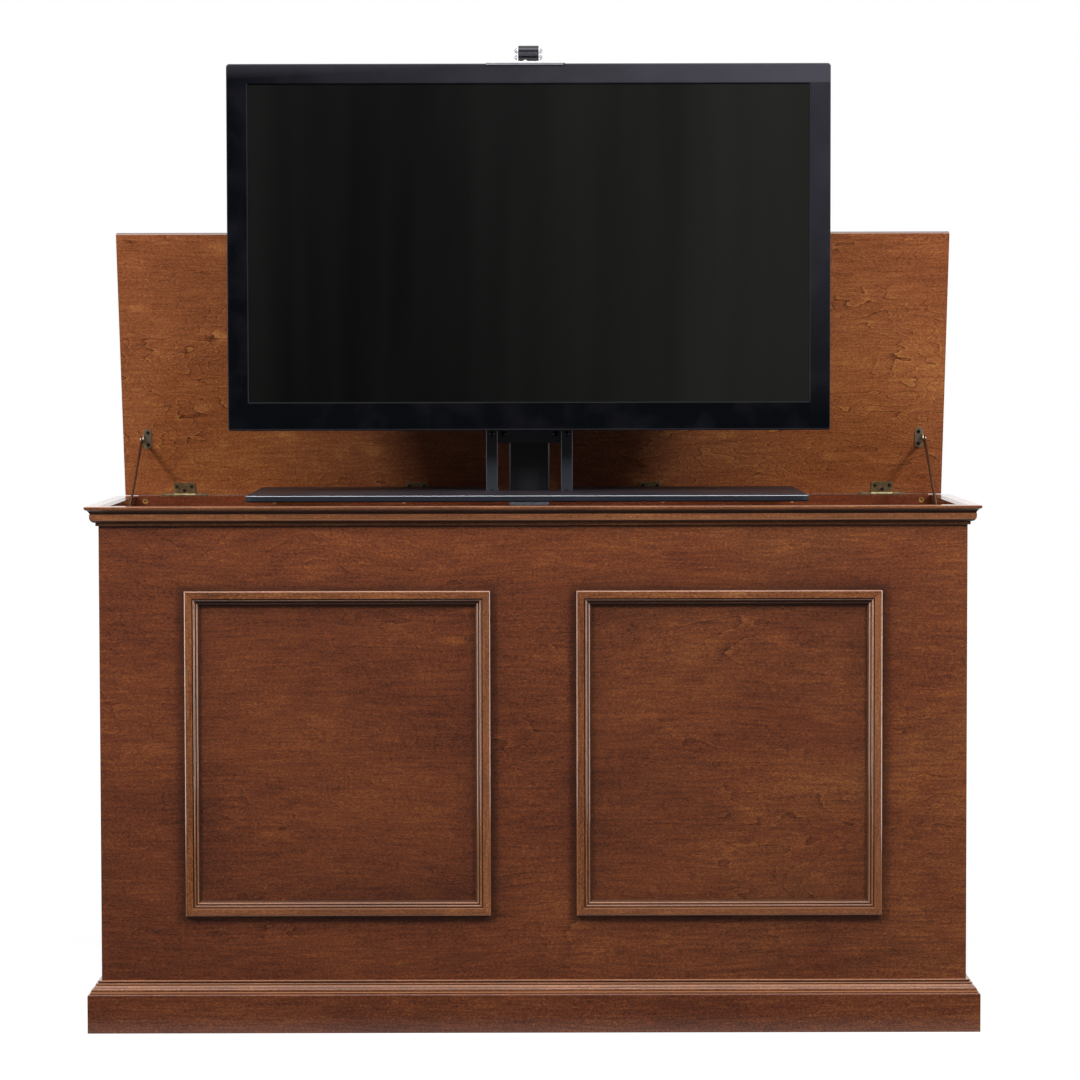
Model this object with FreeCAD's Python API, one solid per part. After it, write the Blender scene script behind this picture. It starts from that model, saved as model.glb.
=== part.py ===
"""TV lift cabinet: a wooden case with a hinged lid, and a television on a telescopic lift.

Millimetres. +X is to the right seen from the front, +Y is towards the back, +Z is up.
The origin is on the floor, at the middle of the whole object's box.
Each function makes one sub-part at its place, with the television raised and the lid open.
"""
import FreeCAD, Part
import math
import os
from FreeCAD import Vector

# ---------------------------------------------------------------- case
CASE_WIDTH = 1578.0            # over the side panels
CASE_DEPTH = 511.0             # front panel's face to back panel's face
CASE_HEIGHT = 960.0            # floor to rim
BOARD = 19.0                   # front, side and bottom panels
BACK_BOARD = 18.0              # back panels
PANEL_FOOT = 12.0              # the case panels stop this far above the floor
BACK_JOINT_HEIGHT = 560.0      # where the fixed and the removable back panel meet
BACK_JOINT_GAP = 1.0
BACK_SCREW_RADIUS = 4.5        # head
BACK_SCREW_HEAD = 2.0
BACK_SCREW_INSET = 30.0
CORD_OUTLET_RADIUS = 30.0
CORD_OUTLET_HEIGHT = 190.0     # above the floor
CORD_OUTLET_INSET = 369.0      # from the case's right side
VENT_SLOT_LENGTH = 90.0
VENT_SLOT_RADIUS = 4.0
VENT_SLOT_COUNT = 7
VENT_SLOT_PITCH = 26.0
VENT_INSET = 269.0             # middle of each group of vents, from the case's side
VENT_HEIGHT = 400.0            # lowest slot above the floor

RAIL_DEPTH = 26.0              # rear top rail, front to back
RAIL_BOLT_COUNT = 7
RAIL_BOLT_INSET = 36.0         # end bolts from the case's sides
RAIL_BOLT_RADIUS = 5.0         # brass head
RAIL_BOLT_HEAD = 8.0
RAIL_BOLT_SHANK_RADIUS = 3.0
RAIL_BOLT_RECESS_RADIUS = 3.2
RAIL_BOLT_RECESS = 4.0
CORNER_BLOCK = 46.0            # glue blocks under the bottom panel

# ---------------------------------------------------------------- mouldings
CORNICE_OUT = 24.0             # how far the cornice stands out of the case
CORNICE_HEIGHT = 35.5
CORNICE_NOSE = 6.2             # height of the rounded top edge
CORNICE_BELLY = 8.8            # belly behind the nose
CORNICE_NECK = 0.8             # neck behind the belly
CORNICE_FILLET = 5.0           # lowest step, out of the case
PLINTH_OUT = 24.0
PLINTH_HEIGHT = 71.0
PLINTH_EASE = 3.4              # rounding of the board's top edge
PLINTH_RAIL_DEPTH = 24.0       # the rail between the sides at the back
CENTRE_RAIL_WIDTH = 60.0
FRAME_SIDE = 154.5             # case's side to the panel moulding
FRAME_HEIGHT = 594.0
FRAME_BOTTOM = 212.0           # above the floor
FRAME_INSET = 78.0             # inner edge of each frame from the middle of the front
FRAME_MOULDING = 27.6
FRAME_RISE = 11.0
CAP_HEIGHT = 23.4              # base cap
CAP_OUT = 19.4

# ---------------------------------------------------------------- lid and hinges
LID_OVERHANG = 7.0             # beyond the case's sides
LID_LENGTH = 520.0
LID_THICK = 19.0
LID_OPEN = 75.2                # degrees from closed to open
LID_EDGE_RADIUS = 3.0
LEAF = 2.2                     # hinge leaf thickness
LEAF_LIFT = 0.2                # the lid's leaf lies this much higher than the rail's
HINGE_WIDTH = 89.0             # rail leaf
HINGE_NARROW = 42.0            # lid leaf, which nests in the rail leaf
HINGE_SCREW_SIDE = 14.2        # lid leaf's outer screws from its middle
HINGE_SCREW_FAR = 18.0         # its outer screws from the lid's heel
HINGE_SCREW_NEAR = 10.2        # its middle screw from the lid's heel
HINGE_NEST = 0.4               # gap round the nested leaf
HINGE_LEAF_LENGTH = 26.0
HINGE_BRIDGE = 7.0             # strip of the rail leaf beyond the nested leaf
HINGE_BARREL = 3.4             # radius
HINGE_SET = 1.0                # axis ahead of the case's back, the barrel let into the wood
HINGE_NOTCH_PLAY = 0.3         # round the barrel, and half of it at each end
HINGE_PIN = 1.5                # radius
HINGE_PIN_PLAY = 0.05
HINGE_INNER = 227.0            # inner hinges' centres from the middle
HINGE_OUTER_INSET = 109.0      # outer hinges' centres from the case's sides

# ---------------------------------------------------------------- lid stays
STAY_INSET = 30.0              # middle of the arm from the case's side
STAY_THICK = 2.6
STAY_WIDTH = 11.0
STAY_GAP = 0.4                 # between neighbouring flats
STAY_ALONG = 114.0             # lid pivot from the hinge axis, along the lid
STAY_STANDOFF = 9.0            # lid pivot below the lid's underside
STAY_PLATE_LENGTH = 40.0
STAY_PLATE_WIDTH = 16.0
STAY_PLATE_THICK = 2.0
STAY_PLATE_SCREW_IN = 1.5      # the plate's screws inward of its middle
STAY_PLATE_SCREW_ALONG = 12.0  # and on each side of it along the lid
STAY_EAR = 7.0                 # radius of the plate's ear
STAY_SLOPE = 29.0              # degrees, the arm below level with the lid open
STAY_ARM = 277.0               # lid pivot to sliding pin
STAY_RIVET = 2.5               # radius of the rivet and of the sliding pin
STAY_PLAY = 0.05
STAY_HEAD = 1.5                # rivet head thickness
STAY_FLANGE = 4.5              # radius of the sliding pin's flange
STAY_FLANGE_THICK = 2.0
TRACK_FACE = 1.6               # thickness of the slotted face
TRACK_BACK = 4.3               # thickness behind the hollow
TRACK_HEIGHT = 16.0
TRACK_SLOT_PLAY = 0.25         # above and below the pin
TRACK_FLANGE_PLAY = 0.6
TRACK_STOP_GAP = 0.1           # pin to the end of the slot with the lid open
TRACK_END = 8.0                # slot's end to the track's end
TRACK_SPARE = 4.0              # slot beyond the pin with the lid closed

# ---------------------------------------------------------------- screws
SCREW_HEAD = 3.6               # radius of a countersunk head
SCREW_SHANK = 1.8
SCREW_RECESS = 0.9             # width of the cross in the head
SCREW_RECESS_DEPTH = 1.1
LID_SCREW_LENGTH = 15.0
RAIL_SCREW_LENGTH = 17.0
RAIL_SCREW_ROWS = (9.0, 26.0)  # from the case's back

# ---------------------------------------------------------------- television
TV_WIDTH = 1118.0
TV_HEIGHT = 678.0
TV_DEPTH = 85.0
TV_CLEAR = 133.0               # bottom edge above the rim
TV_SETBACK = 161.5             # front panel's face to the television's face
BEZEL_SIDE = 39.0              # the bezel's width beside the screen
BEZEL_TOP = 38.0               # above it
BEZEL_BOTTOM = 53.0            # below it
BEZEL_DEPTH = 30.0
BEZEL_LIP = 3.0                # the screen lies this far behind the bezel's face
BEZEL_BEVEL = 2.0              # round the screen's window
SCREEN_HOLD = 6.0              # how far the lip covers the panel's edge
SCREEN_THICK = 9.0
COVER_WALL = 3.0
COVER_BACK_WIDTH = 860.0       # flat rear area of the back cover
COVER_BACK_HEIGHT = 450.0
COVER_SLOT_COUNT = 22
COVER_SLOT_PITCH = 24.0
COVER_SLOT_LENGTH = 46.0
COVER_SLOT_WIDTH = 5.0

# ---------------------------------------------------------------- lift
LIFT_X = -7.0                  # the lift stands a little left of the middle
MID_WIDTH = 76.8
MID_DEPTH = 50.0
TUBE_WALL = 3.0
TUBE_RADIUS = 5.0
STAGE_GAP = 3.6                # between one tube's inside and the next tube's outside
GLIDE_PLAY = 0.3
GLIDE_LENGTH = 60.0
OUTER_TOP = 640.0              # above the floor
MID_BOTTOM = 534.0             # above the floor, raised
MID_TOP = 1132.0
MAST_BOTTOM = 1032.0
MAST_OVER_RAILS = 48.0         # mast above the television rails
LIFT_CLEAR = 5.0               # column to what moves past it
BASE_PLATE_WIDTH = 320.0
BASE_PLATE_DEPTH = 230.0
BASE_PLATE_THICK = 6.0
BASE_PLATE_FRONT = 40.0        # plate ahead of the column
MOTOR_RADIUS = 31.0
MOTOR_HEIGHT = 190.0
GEARBOX_HEIGHT = 58.0
GEARBOX_DEPTH = 92.0
BRACE_WIDTH = 60.0             # bracket from the column to the fixed back panel
BRACE_HEIGHT = 56.0
BRACE_THICK = 3.0
BRACE_ABOVE_JOINT = 14.0       # above the joint of the back panels
BASE_BOLT_INSET = 20.0
BASE_BOLT_RADIUS = 7.5         # over the corners
BASE_BOLT_HEAD = 5.5
BASE_WASHER_RADIUS = 9.0
BASE_WASHER = 1.5
CONTROL_BOX = (150.0, 80.0, 46.0)
CONTROL_BOX_INSET = 124.0      # its middle from the case's left side

VESA_SIZE = 440.0
VESA_THICK = 3.0
VESA_HOLE_PITCH = 400.0
VESA_HOLE_RADIUS = 3.25
VESA_SCREW_RADIUS = 3.0
VESA_SCREW_HEAD = 6.0
PLATE_WINDOW_WIDTH = 92.0
PLATE_WINDOW_END = 40.0        # below the upper and above the lower holes
PLATE_WINDOW_REACH = 66.0      # its middle beyond the rail's middle
PLATE_CORNER = 16.0
PLATE_WINDOW_CORNER = 12.0
TV_RAIL_WIDTH = 22.0
TV_RAIL_DEPTH = 14.0
TV_RAIL_WALL = 2.5
TV_RAIL_PITCH = 141.0
CROSSBAR_DEPTH = 12.0
CROSSBAR_HEIGHT = 25.0
CROSSBAR_WALL = 3.0
CROSSBAR_DROP = 26.0           # lower crossbar's bottom below the television
HEAD_WIDTH = 120.0
HEAD_HEIGHT = 110.0
HEAD_THICK = 4.0
BOLT_HEAD_RADIUS = 5.2
BOLT_HEAD = 3.0
INNER_BOLT_OFFSET = 48.5       # lower crossbar's inner bolts from the lift's middle
SHELF_BOLT_RADIUS = 4.2
SHELF_BOLT_AHEAD = 12.0        # shelf bolts in front of the rails

SHELF_WIDTH = 1030.0
SHELF_SHIFT = -4.0             # shelf's middle from the lift's middle
SHELF_DEPTH = 428.0
SHELF_THICK = 13.0
SHELF_CLEAR = 5.0              # shelf's underside above the rim
SHELF_SETBACK = 36.0           # front panel's face to the shelf's front edge
SHELF_CORNER = 14.0
SHELF_EDGE = 3.0
NOTCH_WIDTH = 114.4
NOTCH_SHIFT = -2.5
NOTCH_RADIUS = 10.0

# ---------------------------------------------------------------- lid opener
ROLLER_RADIUS = 9.75
ROLLER_LENGTH = 38.0
ROLLER_EDGE = 1.2
ROLLER_BORE_PLAY = 0.05
ROLLER_CLEAR = 1.6             # rear roller above the plate
AXLE_RADIUS = 3.0
ROLLER_DROP = 10.7             # rear roller's axis below the front one's
ROLLER_PITCH = 20.0            # along Y
OPENER_PLATE_WIDTH = 134.5
OPENER_PLATE_THICK = 3.0
OPENER_EAR = 1.2
OPENER_END_GAP = 0.3
OPENER_STRAP_WIDTH = 60.0
OPENER_GAP = 1.2               # plate above the television
LIP_WIDTH = 143.5
LIP_SHIFT = -7.0               # lip's middle from the plate's middle
LIP_DROP = 4.0                 # the plate's front lip over the bezel
LIP_THICK = 1.5
CAP_NUT_RADIUS = 4.8
CAP_NUT_COLLAR = 2.0           # length of the nut's straight part
CAP_NUT_DOME = 4.4             # radius of its domed part
CAP_NUT_LENGTH = 5.6
OPENER_EAR_BACK = 8.0          # ear behind the rear roller's axis
OPENER_EAR_FRONT = 6.0         # ear ahead of the front roller's axis
OPENER_EAR_TOP = 6.0           # ear above the front roller's axis
OPENER_EAR_CORNER = 5.0        # height at the ear's cut corners
REAR_ROLLER_SETBACK = 22.0     # axis ahead of the television's back
OPENER_SCREW_RADIUS = 4.7
OPENER_SCREW_X = -6.0          # from the lift's middle
OPENER_SCREW_BACK = 14.0       # behind the television's face

# ---------------------------------------------------------------- worked-out places
HALF = CASE_WIDTH / 2
LID_WIDTH = CASE_WIDTH + 2 * LID_OVERHANG
HINGE_X = (HINGE_INNER, HALF - HINGE_OUTER_INSET)       # on each side of the middle
RAIL_BOLT_PITCH = (CASE_WIDTH - 2 * RAIL_BOLT_INSET) / (RAIL_BOLT_COUNT - 1)
FRAME_WIDTH = HALF - FRAME_INSET - FRAME_SIDE
STAY_X = HALF - STAY_INSET
VENT_X = HALF - VENT_INSET
CORD_OUTLET_X = HALF - CORD_OUTLET_INSET
CONTROL_BOX_X = CONTROL_BOX_INSET - HALF
BRACE_BOTTOM = BACK_JOINT_HEIGHT + BRACE_ABOVE_JOINT
INSIDE = HALF - BOARD                                   # side panel's inner face
RIM = CASE_HEIGHT
HINGE_OFFSET = -HINGE_SET                               # axis behind the case
UNDERSIDE = LEAF + LEAF_LIFT                            # closed lid above the rim
AXIS_LIFT = UNDERSIDE / 2                               # hinge axis above the rim
OPENING = math.radians(LID_OPEN)
LID_HEEL = (HINGE_OFFSET + (AXIS_LIFT + LID_THICK) * math.sin(OPENING)
            - HINGE_OFFSET * math.cos(OPENING))         # open lid's reach behind the case
FRONT = CORNICE_OUT - (CORNICE_OUT + CASE_DEPTH + LID_HEEL) / 2
BACK = FRONT + CASE_DEPTH
HINGE_AXIS = Vector(0, BACK + HINGE_OFFSET, RIM + AXIS_LIFT)

TV_FACE = FRONT + TV_SETBACK
TV_BACK = TV_FACE + TV_DEPTH
TV_BOTTOM = RIM + TV_CLEAR
TV_TOP = TV_BOTTOM + TV_HEIGHT
SCREEN_WIDTH = TV_WIDTH - 2 * BEZEL_SIDE
SCREEN_HEIGHT = TV_HEIGHT - BEZEL_TOP - BEZEL_BOTTOM
TV_RAIL_TOP = TV_BOTTOM + (TV_HEIGHT + VESA_SIZE) / 2
MAST_TOP = TV_RAIL_TOP + MAST_OVER_RAILS
RAIL_FACE = TV_BACK + VESA_THICK                        # front of the television rails
RAIL_REAR = RAIL_FACE + TV_RAIL_DEPTH
CROSSBAR_REAR = RAIL_REAR + CROSSBAR_DEPTH
STEP = TUBE_WALL + STAGE_GAP                            # from one tube's outside to the next one's
OUTER_WIDTH = MID_WIDTH + 2 * STEP
OUTER_DEPTH = MID_DEPTH + 2 * STEP
MAST_WIDTH = MID_WIDTH - 2 * STEP
MAST_DEPTH = MID_DEPTH - 2 * STEP
COLUMN_FRONT = CROSSBAR_REAR + LIFT_CLEAR               # outer column's front face
COLUMN_Y = COLUMN_FRONT + OUTER_DEPTH / 2
COLUMN_REAR = COLUMN_FRONT + OUTER_DEPTH
MAST_FRONT = COLUMN_Y - MAST_DEPTH / 2
BOTTOM_TOP = PLINTH_HEIGHT + BOARD                      # upper face of the bottom panel
SHELF_BOTTOM = RIM + SHELF_CLEAR
SHELF_TOP = SHELF_BOTTOM + SHELF_THICK
SHELF_FRONT = FRONT + SHELF_SETBACK
NOTCH_FRONT = COLUMN_FRONT - LIFT_CLEAR
OPENER_BOTTOM = TV_TOP + OPENER_GAP
OPENER_TOP = OPENER_BOTTOM + OPENER_PLATE_THICK
REAR_ROLLER_Z = OPENER_TOP + ROLLER_RADIUS + ROLLER_CLEAR
FRONT_ROLLER_Z = REAR_ROLLER_Z + ROLLER_DROP
REAR_ROLLER_Y = TV_BACK - REAR_ROLLER_SETBACK
FRONT_ROLLER_Y = REAR_ROLLER_Y - ROLLER_PITCH


# ================================================================ helpers
def box(x0, x1, y0, y1, z0, z1):
    return Part.makeBox(x1 - x0, y1 - y0, z1 - z0, Vector(x0, y0, z0))


def rod(centre, direction, radius, length):
    """A cylinder from its centre point at one end, along a direction."""
    return Part.makeCylinder(radius, length, centre, direction)


def prism(points, along):
    """A flat polygon of points pushed along a vector."""
    wire = Part.makePolygon(list(points) + [points[0]])
    return Part.Face(wire).extrude(along)


def round_edges(shape, radius, wanted):
    edges = [edge for edge in shape.Edges if wanted(edge)]
    return shape.makeFillet(radius, edges) if edges else shape


def runs_along(edge, axis):
    """True for a straight edge that lies along the axis 'x', 'y' or 'z'."""
    if not isinstance(edge.Curve, (Part.Line, Part.LineSegment)):
        return False
    span = edge.BoundBox
    lengths = {"x": span.XLength, "y": span.YLength, "z": span.ZLength}
    across = sum(value for name, value in lengths.items() if name != axis)
    return lengths[axis] > 1e-3 and across < 1e-6


def rectangle_tube(width, depth, wall, radius, z0, z1):
    """An upright rectangular tube about the lift's axis."""
    def bar(shrink, corner):
        block = box(LIFT_X - width / 2 + shrink, LIFT_X + width / 2 - shrink,
                    COLUMN_Y - depth / 2 + shrink, COLUMN_Y + depth / 2 - shrink, z0, z1)
        return round_edges(block, corner, lambda edge: runs_along(edge, "z"))
    return bar(0, radius).cut(bar(wall, max(radius - wall, 0.5)))


def profile_edges(start, steps):
    """Edges of an outline: a step of one point is a line, of two is an arc through the first."""
    edges = []
    here = start
    for step in steps:
        if len(step) == 1:
            edges.append(Part.LineSegment(here, step[0]).toShape())
        else:
            edges.append(Part.Arc(here, step[0], step[1]).toShape())
        here = step[-1]
    edges.append(Part.LineSegment(here, start).toShape())
    return edges


def moulding(steps, corner, along, across, rise, length, start_grow, end_grow, width, height):
    """A length of moulding with mitred or square ends.

    The profile's points are (across, rise) from the corner. An end with a grow of 1 is mitred
    so that the piece is longer at its outer edge, -1 shorter, and 0 cuts it square.
    """
    def place(point):
        return corner + across * point[0] + rise * point[1]
    placed = [tuple(place(point) for point in step) for step in steps]
    wire = Part.Wire(profile_edges(corner, placed))
    overrun = width if max(start_grow, end_grow) > 0 else 0.0
    stick = Part.Face(wire).extrude(along * (length + 2 * overrun))
    stick.translate(along * (-overrun))
    floor = corner - rise * 1.0
    corners = [floor,
               floor + along * length,
               floor + along * (length + end_grow * width) + across * width,
               floor - along * (start_grow * width) + across * width]
    return stick.common(prism(corners, rise * (height + 2.0)))


def both_sides(make):
    """The same piece on the left and on the right of the middle, as one group."""
    return Part.makeCompound([make(-1), make(1)])


X = Vector(1, 0, 0)
Y = Vector(0, 1, 0)
Z = Vector(0, 0, 1)


# ================================================================ case
def front_panel():
    points = [Vector(-HALF, FRONT, PANEL_FOOT), Vector(HALF, FRONT, PANEL_FOOT),
              Vector(INSIDE, FRONT + BOARD, PANEL_FOOT), Vector(-INSIDE, FRONT + BOARD, PANEL_FOOT)]
    return prism(points, Z * (RIM - PANEL_FOOT))


def side_panel(side):
    """A side, mitred to the front panel and notched for the back boards."""
    points = [Vector(side * HALF, FRONT, PANEL_FOOT), Vector(side * INSIDE, FRONT + BOARD, PANEL_FOOT),
              Vector(side * INSIDE, BACK, PANEL_FOOT), Vector(side * HALF, BACK, PANEL_FOOT)]
    return prism(points, Z * (RIM - PANEL_FOOT))


def back_panel_upper():
    panel = box(-INSIDE, INSIDE, BACK - BACK_BOARD, BACK, BACK_JOINT_HEIGHT, RIM)
    return panel.cut(rail_screw_holes() + hinge_notches())


def vent_slot(x, z):
    """A long hole with round ends, through the removable back panel."""
    half = VENT_SLOT_LENGTH / 2
    depth = BACK_BOARD + 2
    start = BACK - BACK_BOARD - 1
    middle = box(x - half, x + half, start, start + depth, z - VENT_SLOT_RADIUS, z + VENT_SLOT_RADIUS)
    ends = [rod(Vector(x + end * half, start, z), Y, VENT_SLOT_RADIUS, depth) for end in (-1, 1)]
    return middle.fuse(ends)


def back_panel_lower():
    """The removable back panel, with vents and one outlet for cords."""
    panel = box(-INSIDE, INSIDE, BACK - BACK_BOARD, BACK,
                BOTTOM_TOP, BACK_JOINT_HEIGHT - BACK_JOINT_GAP)
    outlet = rod(Vector(CORD_OUTLET_X, BACK - BACK_BOARD - 1, CORD_OUTLET_HEIGHT), Y,
                 CORD_OUTLET_RADIUS, BACK_BOARD + 2)
    slots = [vent_slot(side * VENT_X, VENT_HEIGHT - row * VENT_SLOT_PITCH + VENT_SLOT_PITCH * 3)
             for side in (-1, 1) for row in range(VENT_SLOT_COUNT)]
    return panel.cut([outlet] + slots)


def back_panel_screws():
    """Round-headed screws along the edges of the removable back panel."""
    low = BOTTOM_TOP + BACK_SCREW_INSET
    high = BACK_JOINT_HEIGHT - BACK_SCREW_INSET
    reach = INSIDE - BACK_SCREW_INSET
    places = [(x * reach / 2, z) for x in (-2, -1, 0, 1, 2) for z in (low, high)]
    heads = []
    for x, z in places:
        head = rod(Vector(x, BACK, z), Y, BACK_SCREW_RADIUS, BACK_SCREW_HEAD)
        heads.append(round_edges(head, BACK_SCREW_HEAD * 0.7,
                                 lambda edge: edge.BoundBox.YMin > BACK + BACK_SCREW_HEAD / 2
                                 and edge.BoundBox.YLength < 1e-6))
    return Part.makeCompound(heads)


def bottom_panel():
    return box(-INSIDE, INSIDE, FRONT + BOARD, BACK, PLINTH_HEIGHT, BOTTOM_TOP)


def rail_bolt_places():
    middle = (RAIL_BOLT_COUNT - 1) / 2
    return [(index - middle) * RAIL_BOLT_PITCH for index in range(RAIL_BOLT_COUNT)]


def rear_top_rail():
    """The flat rail behind the opening, bored for its connector bolts."""
    face = BACK - BACK_BOARD - RAIL_DEPTH
    rail = box(-INSIDE, INSIDE, face, BACK - BACK_BOARD, RIM - BOARD, RIM)
    holes = []
    for x in rail_bolt_places():
        start = Vector(x, face, RIM - BOARD / 2)
        holes.append(rod(start, Y, RAIL_BOLT_RADIUS, RAIL_BOLT_HEAD))
        holes.append(rod(start, Y, RAIL_BOLT_SHANK_RADIUS, RAIL_DEPTH))
    return rail.cut(holes + rail_screw_holes())


def rail_bolts():
    """Brass-headed connector bolts, each with a round recess in its head."""
    face = BACK - BACK_BOARD - RAIL_DEPTH
    bolts = []
    for x in rail_bolt_places():
        start = Vector(x, face, RIM - BOARD / 2)
        head = rod(start, Y, RAIL_BOLT_RADIUS, RAIL_BOLT_HEAD)
        head = head.cut(rod(start, Y, RAIL_BOLT_RECESS_RADIUS, RAIL_BOLT_RECESS))
        shank = rod(start + Y * (RAIL_BOLT_HEAD - 1), Y, RAIL_BOLT_SHANK_RADIUS,
                    RAIL_DEPTH - RAIL_BOLT_HEAD + 1)
        bolts.append(head.fuse(shank))
    return Part.makeCompound(bolts)


def corner_blocks():
    """Three-cornered glue blocks in the corners under the bottom panel."""
    blocks = []
    for side in (-1, 1):
        for end, y in ((1, FRONT + BOARD), (-1, BACK - PLINTH_RAIL_DEPTH)):
            corner = Vector(side * INSIDE, y, PANEL_FOOT)
            points = [corner, corner - X * (side * CORNER_BLOCK), corner + Y * (end * CORNER_BLOCK)]
            blocks.append(prism(points, Z * (PLINTH_HEIGHT - PANEL_FOOT)))
    return Part.makeCompound(blocks)


# ================================================================ mouldings round the case
def round_case(steps, base, width, height, part):
    """One of the three lengths that go round the front and the sides of the case."""
    if part == "front":
        return moulding(steps, Vector(-HALF, FRONT, base), X, -Y, Z, CASE_WIDTH, 1, 1, width, height)
    side = -1 if part == "left" else 1
    return moulding(steps, Vector(side * HALF, FRONT, base), Y, X * side, Z, CASE_DEPTH,
                    1, 0, width, height)


def cornice(part):
    """Crown moulding: nose, cove, small step, round belly and a square fillet."""
    out = CORNICE_OUT
    top = CORNICE_HEIGHT
    belly = out - CORNICE_BELLY
    neck = belly - CORNICE_NECK
    fillet = CORNICE_FILLET
    steps = [((fillet - 0.8, 0),), ((fillet, 0.8),), ((fillet, 5.9),), ((fillet + 0.8, 5.9),),
             ((belly - 2.6, 9.1), (belly, 15.0)), ((belly, 21.1),), ((neck, 21.1),), ((neck, 22.3),),
             ((neck + 2.6, 26.4), (out - 3.6, top - CORNICE_NOSE)), ((out - 2.8, top - CORNICE_NOSE),),
             ((out - 0.6, top - 4.5), (out, top - 2.1)), ((out - 0.4, top - 0.6), (out - 1.6, top)),
             ((0, top),)]
    return round_case(steps, RIM - top, out, top, part)


def plinth(part):
    """A base board with a rounded top edge."""
    out = PLINTH_OUT
    ease = PLINTH_EASE
    steps = [((out, 0),), ((out, PLINTH_HEIGHT - ease),),
             ((out - ease * 0.293, PLINTH_HEIGHT - ease * 0.293), (out - ease, PLINTH_HEIGHT)),
             ((0, PLINTH_HEIGHT),)]
    return round_case(steps, 0.0, out, PLINTH_HEIGHT, part)


def base_cap(part):
    """Stepped moulding on the base board: flat, ogee, bead and a smaller bead on top."""
    steps = [((CAP_OUT, 0),), ((CAP_OUT, 3.4),), ((18.2, 3.4),), ((18.2, 4.6),),
             ((17.2, 8.0), (14.4, 10.4),), ((12.2, 12.1), (11.2, 14.4),), ((8.6, 14.4),),
             ((8.6, 15.2),), ((10.4, 16.9), (8.6, 18.6),), ((5.4, 18.6),), ((5.4, 19.6),),
             ((7.0, 21.5), (5.0, CAP_HEIGHT),), ((0, CAP_HEIGHT),)]
    return round_case(steps, PLINTH_HEIGHT, CAP_OUT, CAP_HEIGHT, part)


def plinth_back():
    return box(-INSIDE, INSIDE, BACK - PLINTH_RAIL_DEPTH, BACK, 0, PLINTH_HEIGHT)


def plinth_centre_rail():
    return box(-CENTRE_RAIL_WIDTH / 2, CENTRE_RAIL_WIDTH / 2, FRONT + BOARD,
               BACK - PLINTH_RAIL_DEPTH, 0, PLINTH_HEIGHT)


def panel_moulding(side):
    """Four mitred lengths of applied moulding, making one picture frame on the front."""
    wide = FRAME_MOULDING
    rise = FRAME_RISE
    steps = [((0, rise - 3.0),), ((0.9, rise - 0.9), (3.0, rise)), ((wide - 13.2, rise),),
             ((wide - 13.2, rise - 2.4),), ((wide - 11.6, rise - 2.4),),
             ((wide - 9.6, rise - 0.6), (wide - 7.6, rise - 2.6)), ((wide - 7.6, rise - 4.4),),
             ((wide - 6.4, rise - 4.4),), ((wide - 4.4, rise - 3.4), (wide - 2.8, rise - 5.4)),
             ((wide - 2.8, rise - 7.0),), ((wide, rise - 8.0),), ((wide, 0),)]
    near = side * FRAME_INSET
    far = side * (FRAME_INSET + FRAME_WIDTH)
    left, right = min(near, far), max(near, far)
    low, high = FRAME_BOTTOM, FRAME_BOTTOM + FRAME_HEIGHT
    runs = [(Vector(left, FRONT, low), X, Z, FRAME_WIDTH),
            (Vector(right, FRONT, low), Z, -X, FRAME_HEIGHT),
            (Vector(right, FRONT, high), -X, -Z, FRAME_WIDTH),
            (Vector(left, FRONT, high), -Z, X, FRAME_HEIGHT)]
    return Part.makeCompound([moulding(steps, corner, along, inward, -Y, length, -1, -1, wide, rise)
                              for corner, along, inward, length in runs])


# ================================================================ lid, hinges and stays
def opened(shape):
    """Turn a piece of the closed lid up to its open place."""
    turned = shape.copy()
    turned.rotate(HINGE_AXIS, -X, LID_OPEN)
    return turned


def lid_panel():
    board = box(-LID_WIDTH / 2, LID_WIDTH / 2, BACK - LID_LENGTH, BACK,
                RIM + UNDERSIDE, RIM + UNDERSIDE + LID_THICK)
    upper = RIM + UNDERSIDE + LID_THICK

    def outer_edge(edge):
        span = edge.BoundBox
        at_heel = span.YMin > BACK - 1e-3 and span.YLength < 1e-3
        return span.ZMin > upper - 1e-3 and not at_heel
    board = round_edges(board, LID_EDGE_RADIUS, outer_edge)
    return opened(board.cut(lid_screw_holes() + hinge_notches()))


def hinge_centres():
    return [side * x for x in HINGE_X for side in (-1, 1)]


def knuckle(x0, x1):
    return rod(Vector(x0, HINGE_AXIS.y, HINGE_AXIS.z), X, HINGE_BARREL, x1 - x0)


def pin_bore(x):
    length = HINGE_WIDTH + 2
    return rod(Vector(x - length / 2, HINGE_AXIS.y, HINGE_AXIS.z), X, HINGE_PIN + HINGE_PIN_PLAY, length)


def hinge_notches():
    """Round notches in the case and the lid that each hinge's barrel turns in."""
    length = HINGE_WIDTH + HINGE_NOTCH_PLAY
    radius = HINGE_BARREL + HINGE_NOTCH_PLAY
    return [rod(Vector(x - length / 2, HINGE_AXIS.y, HINGE_AXIS.z), X, radius, length)
            for x in hinge_centres()]


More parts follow.
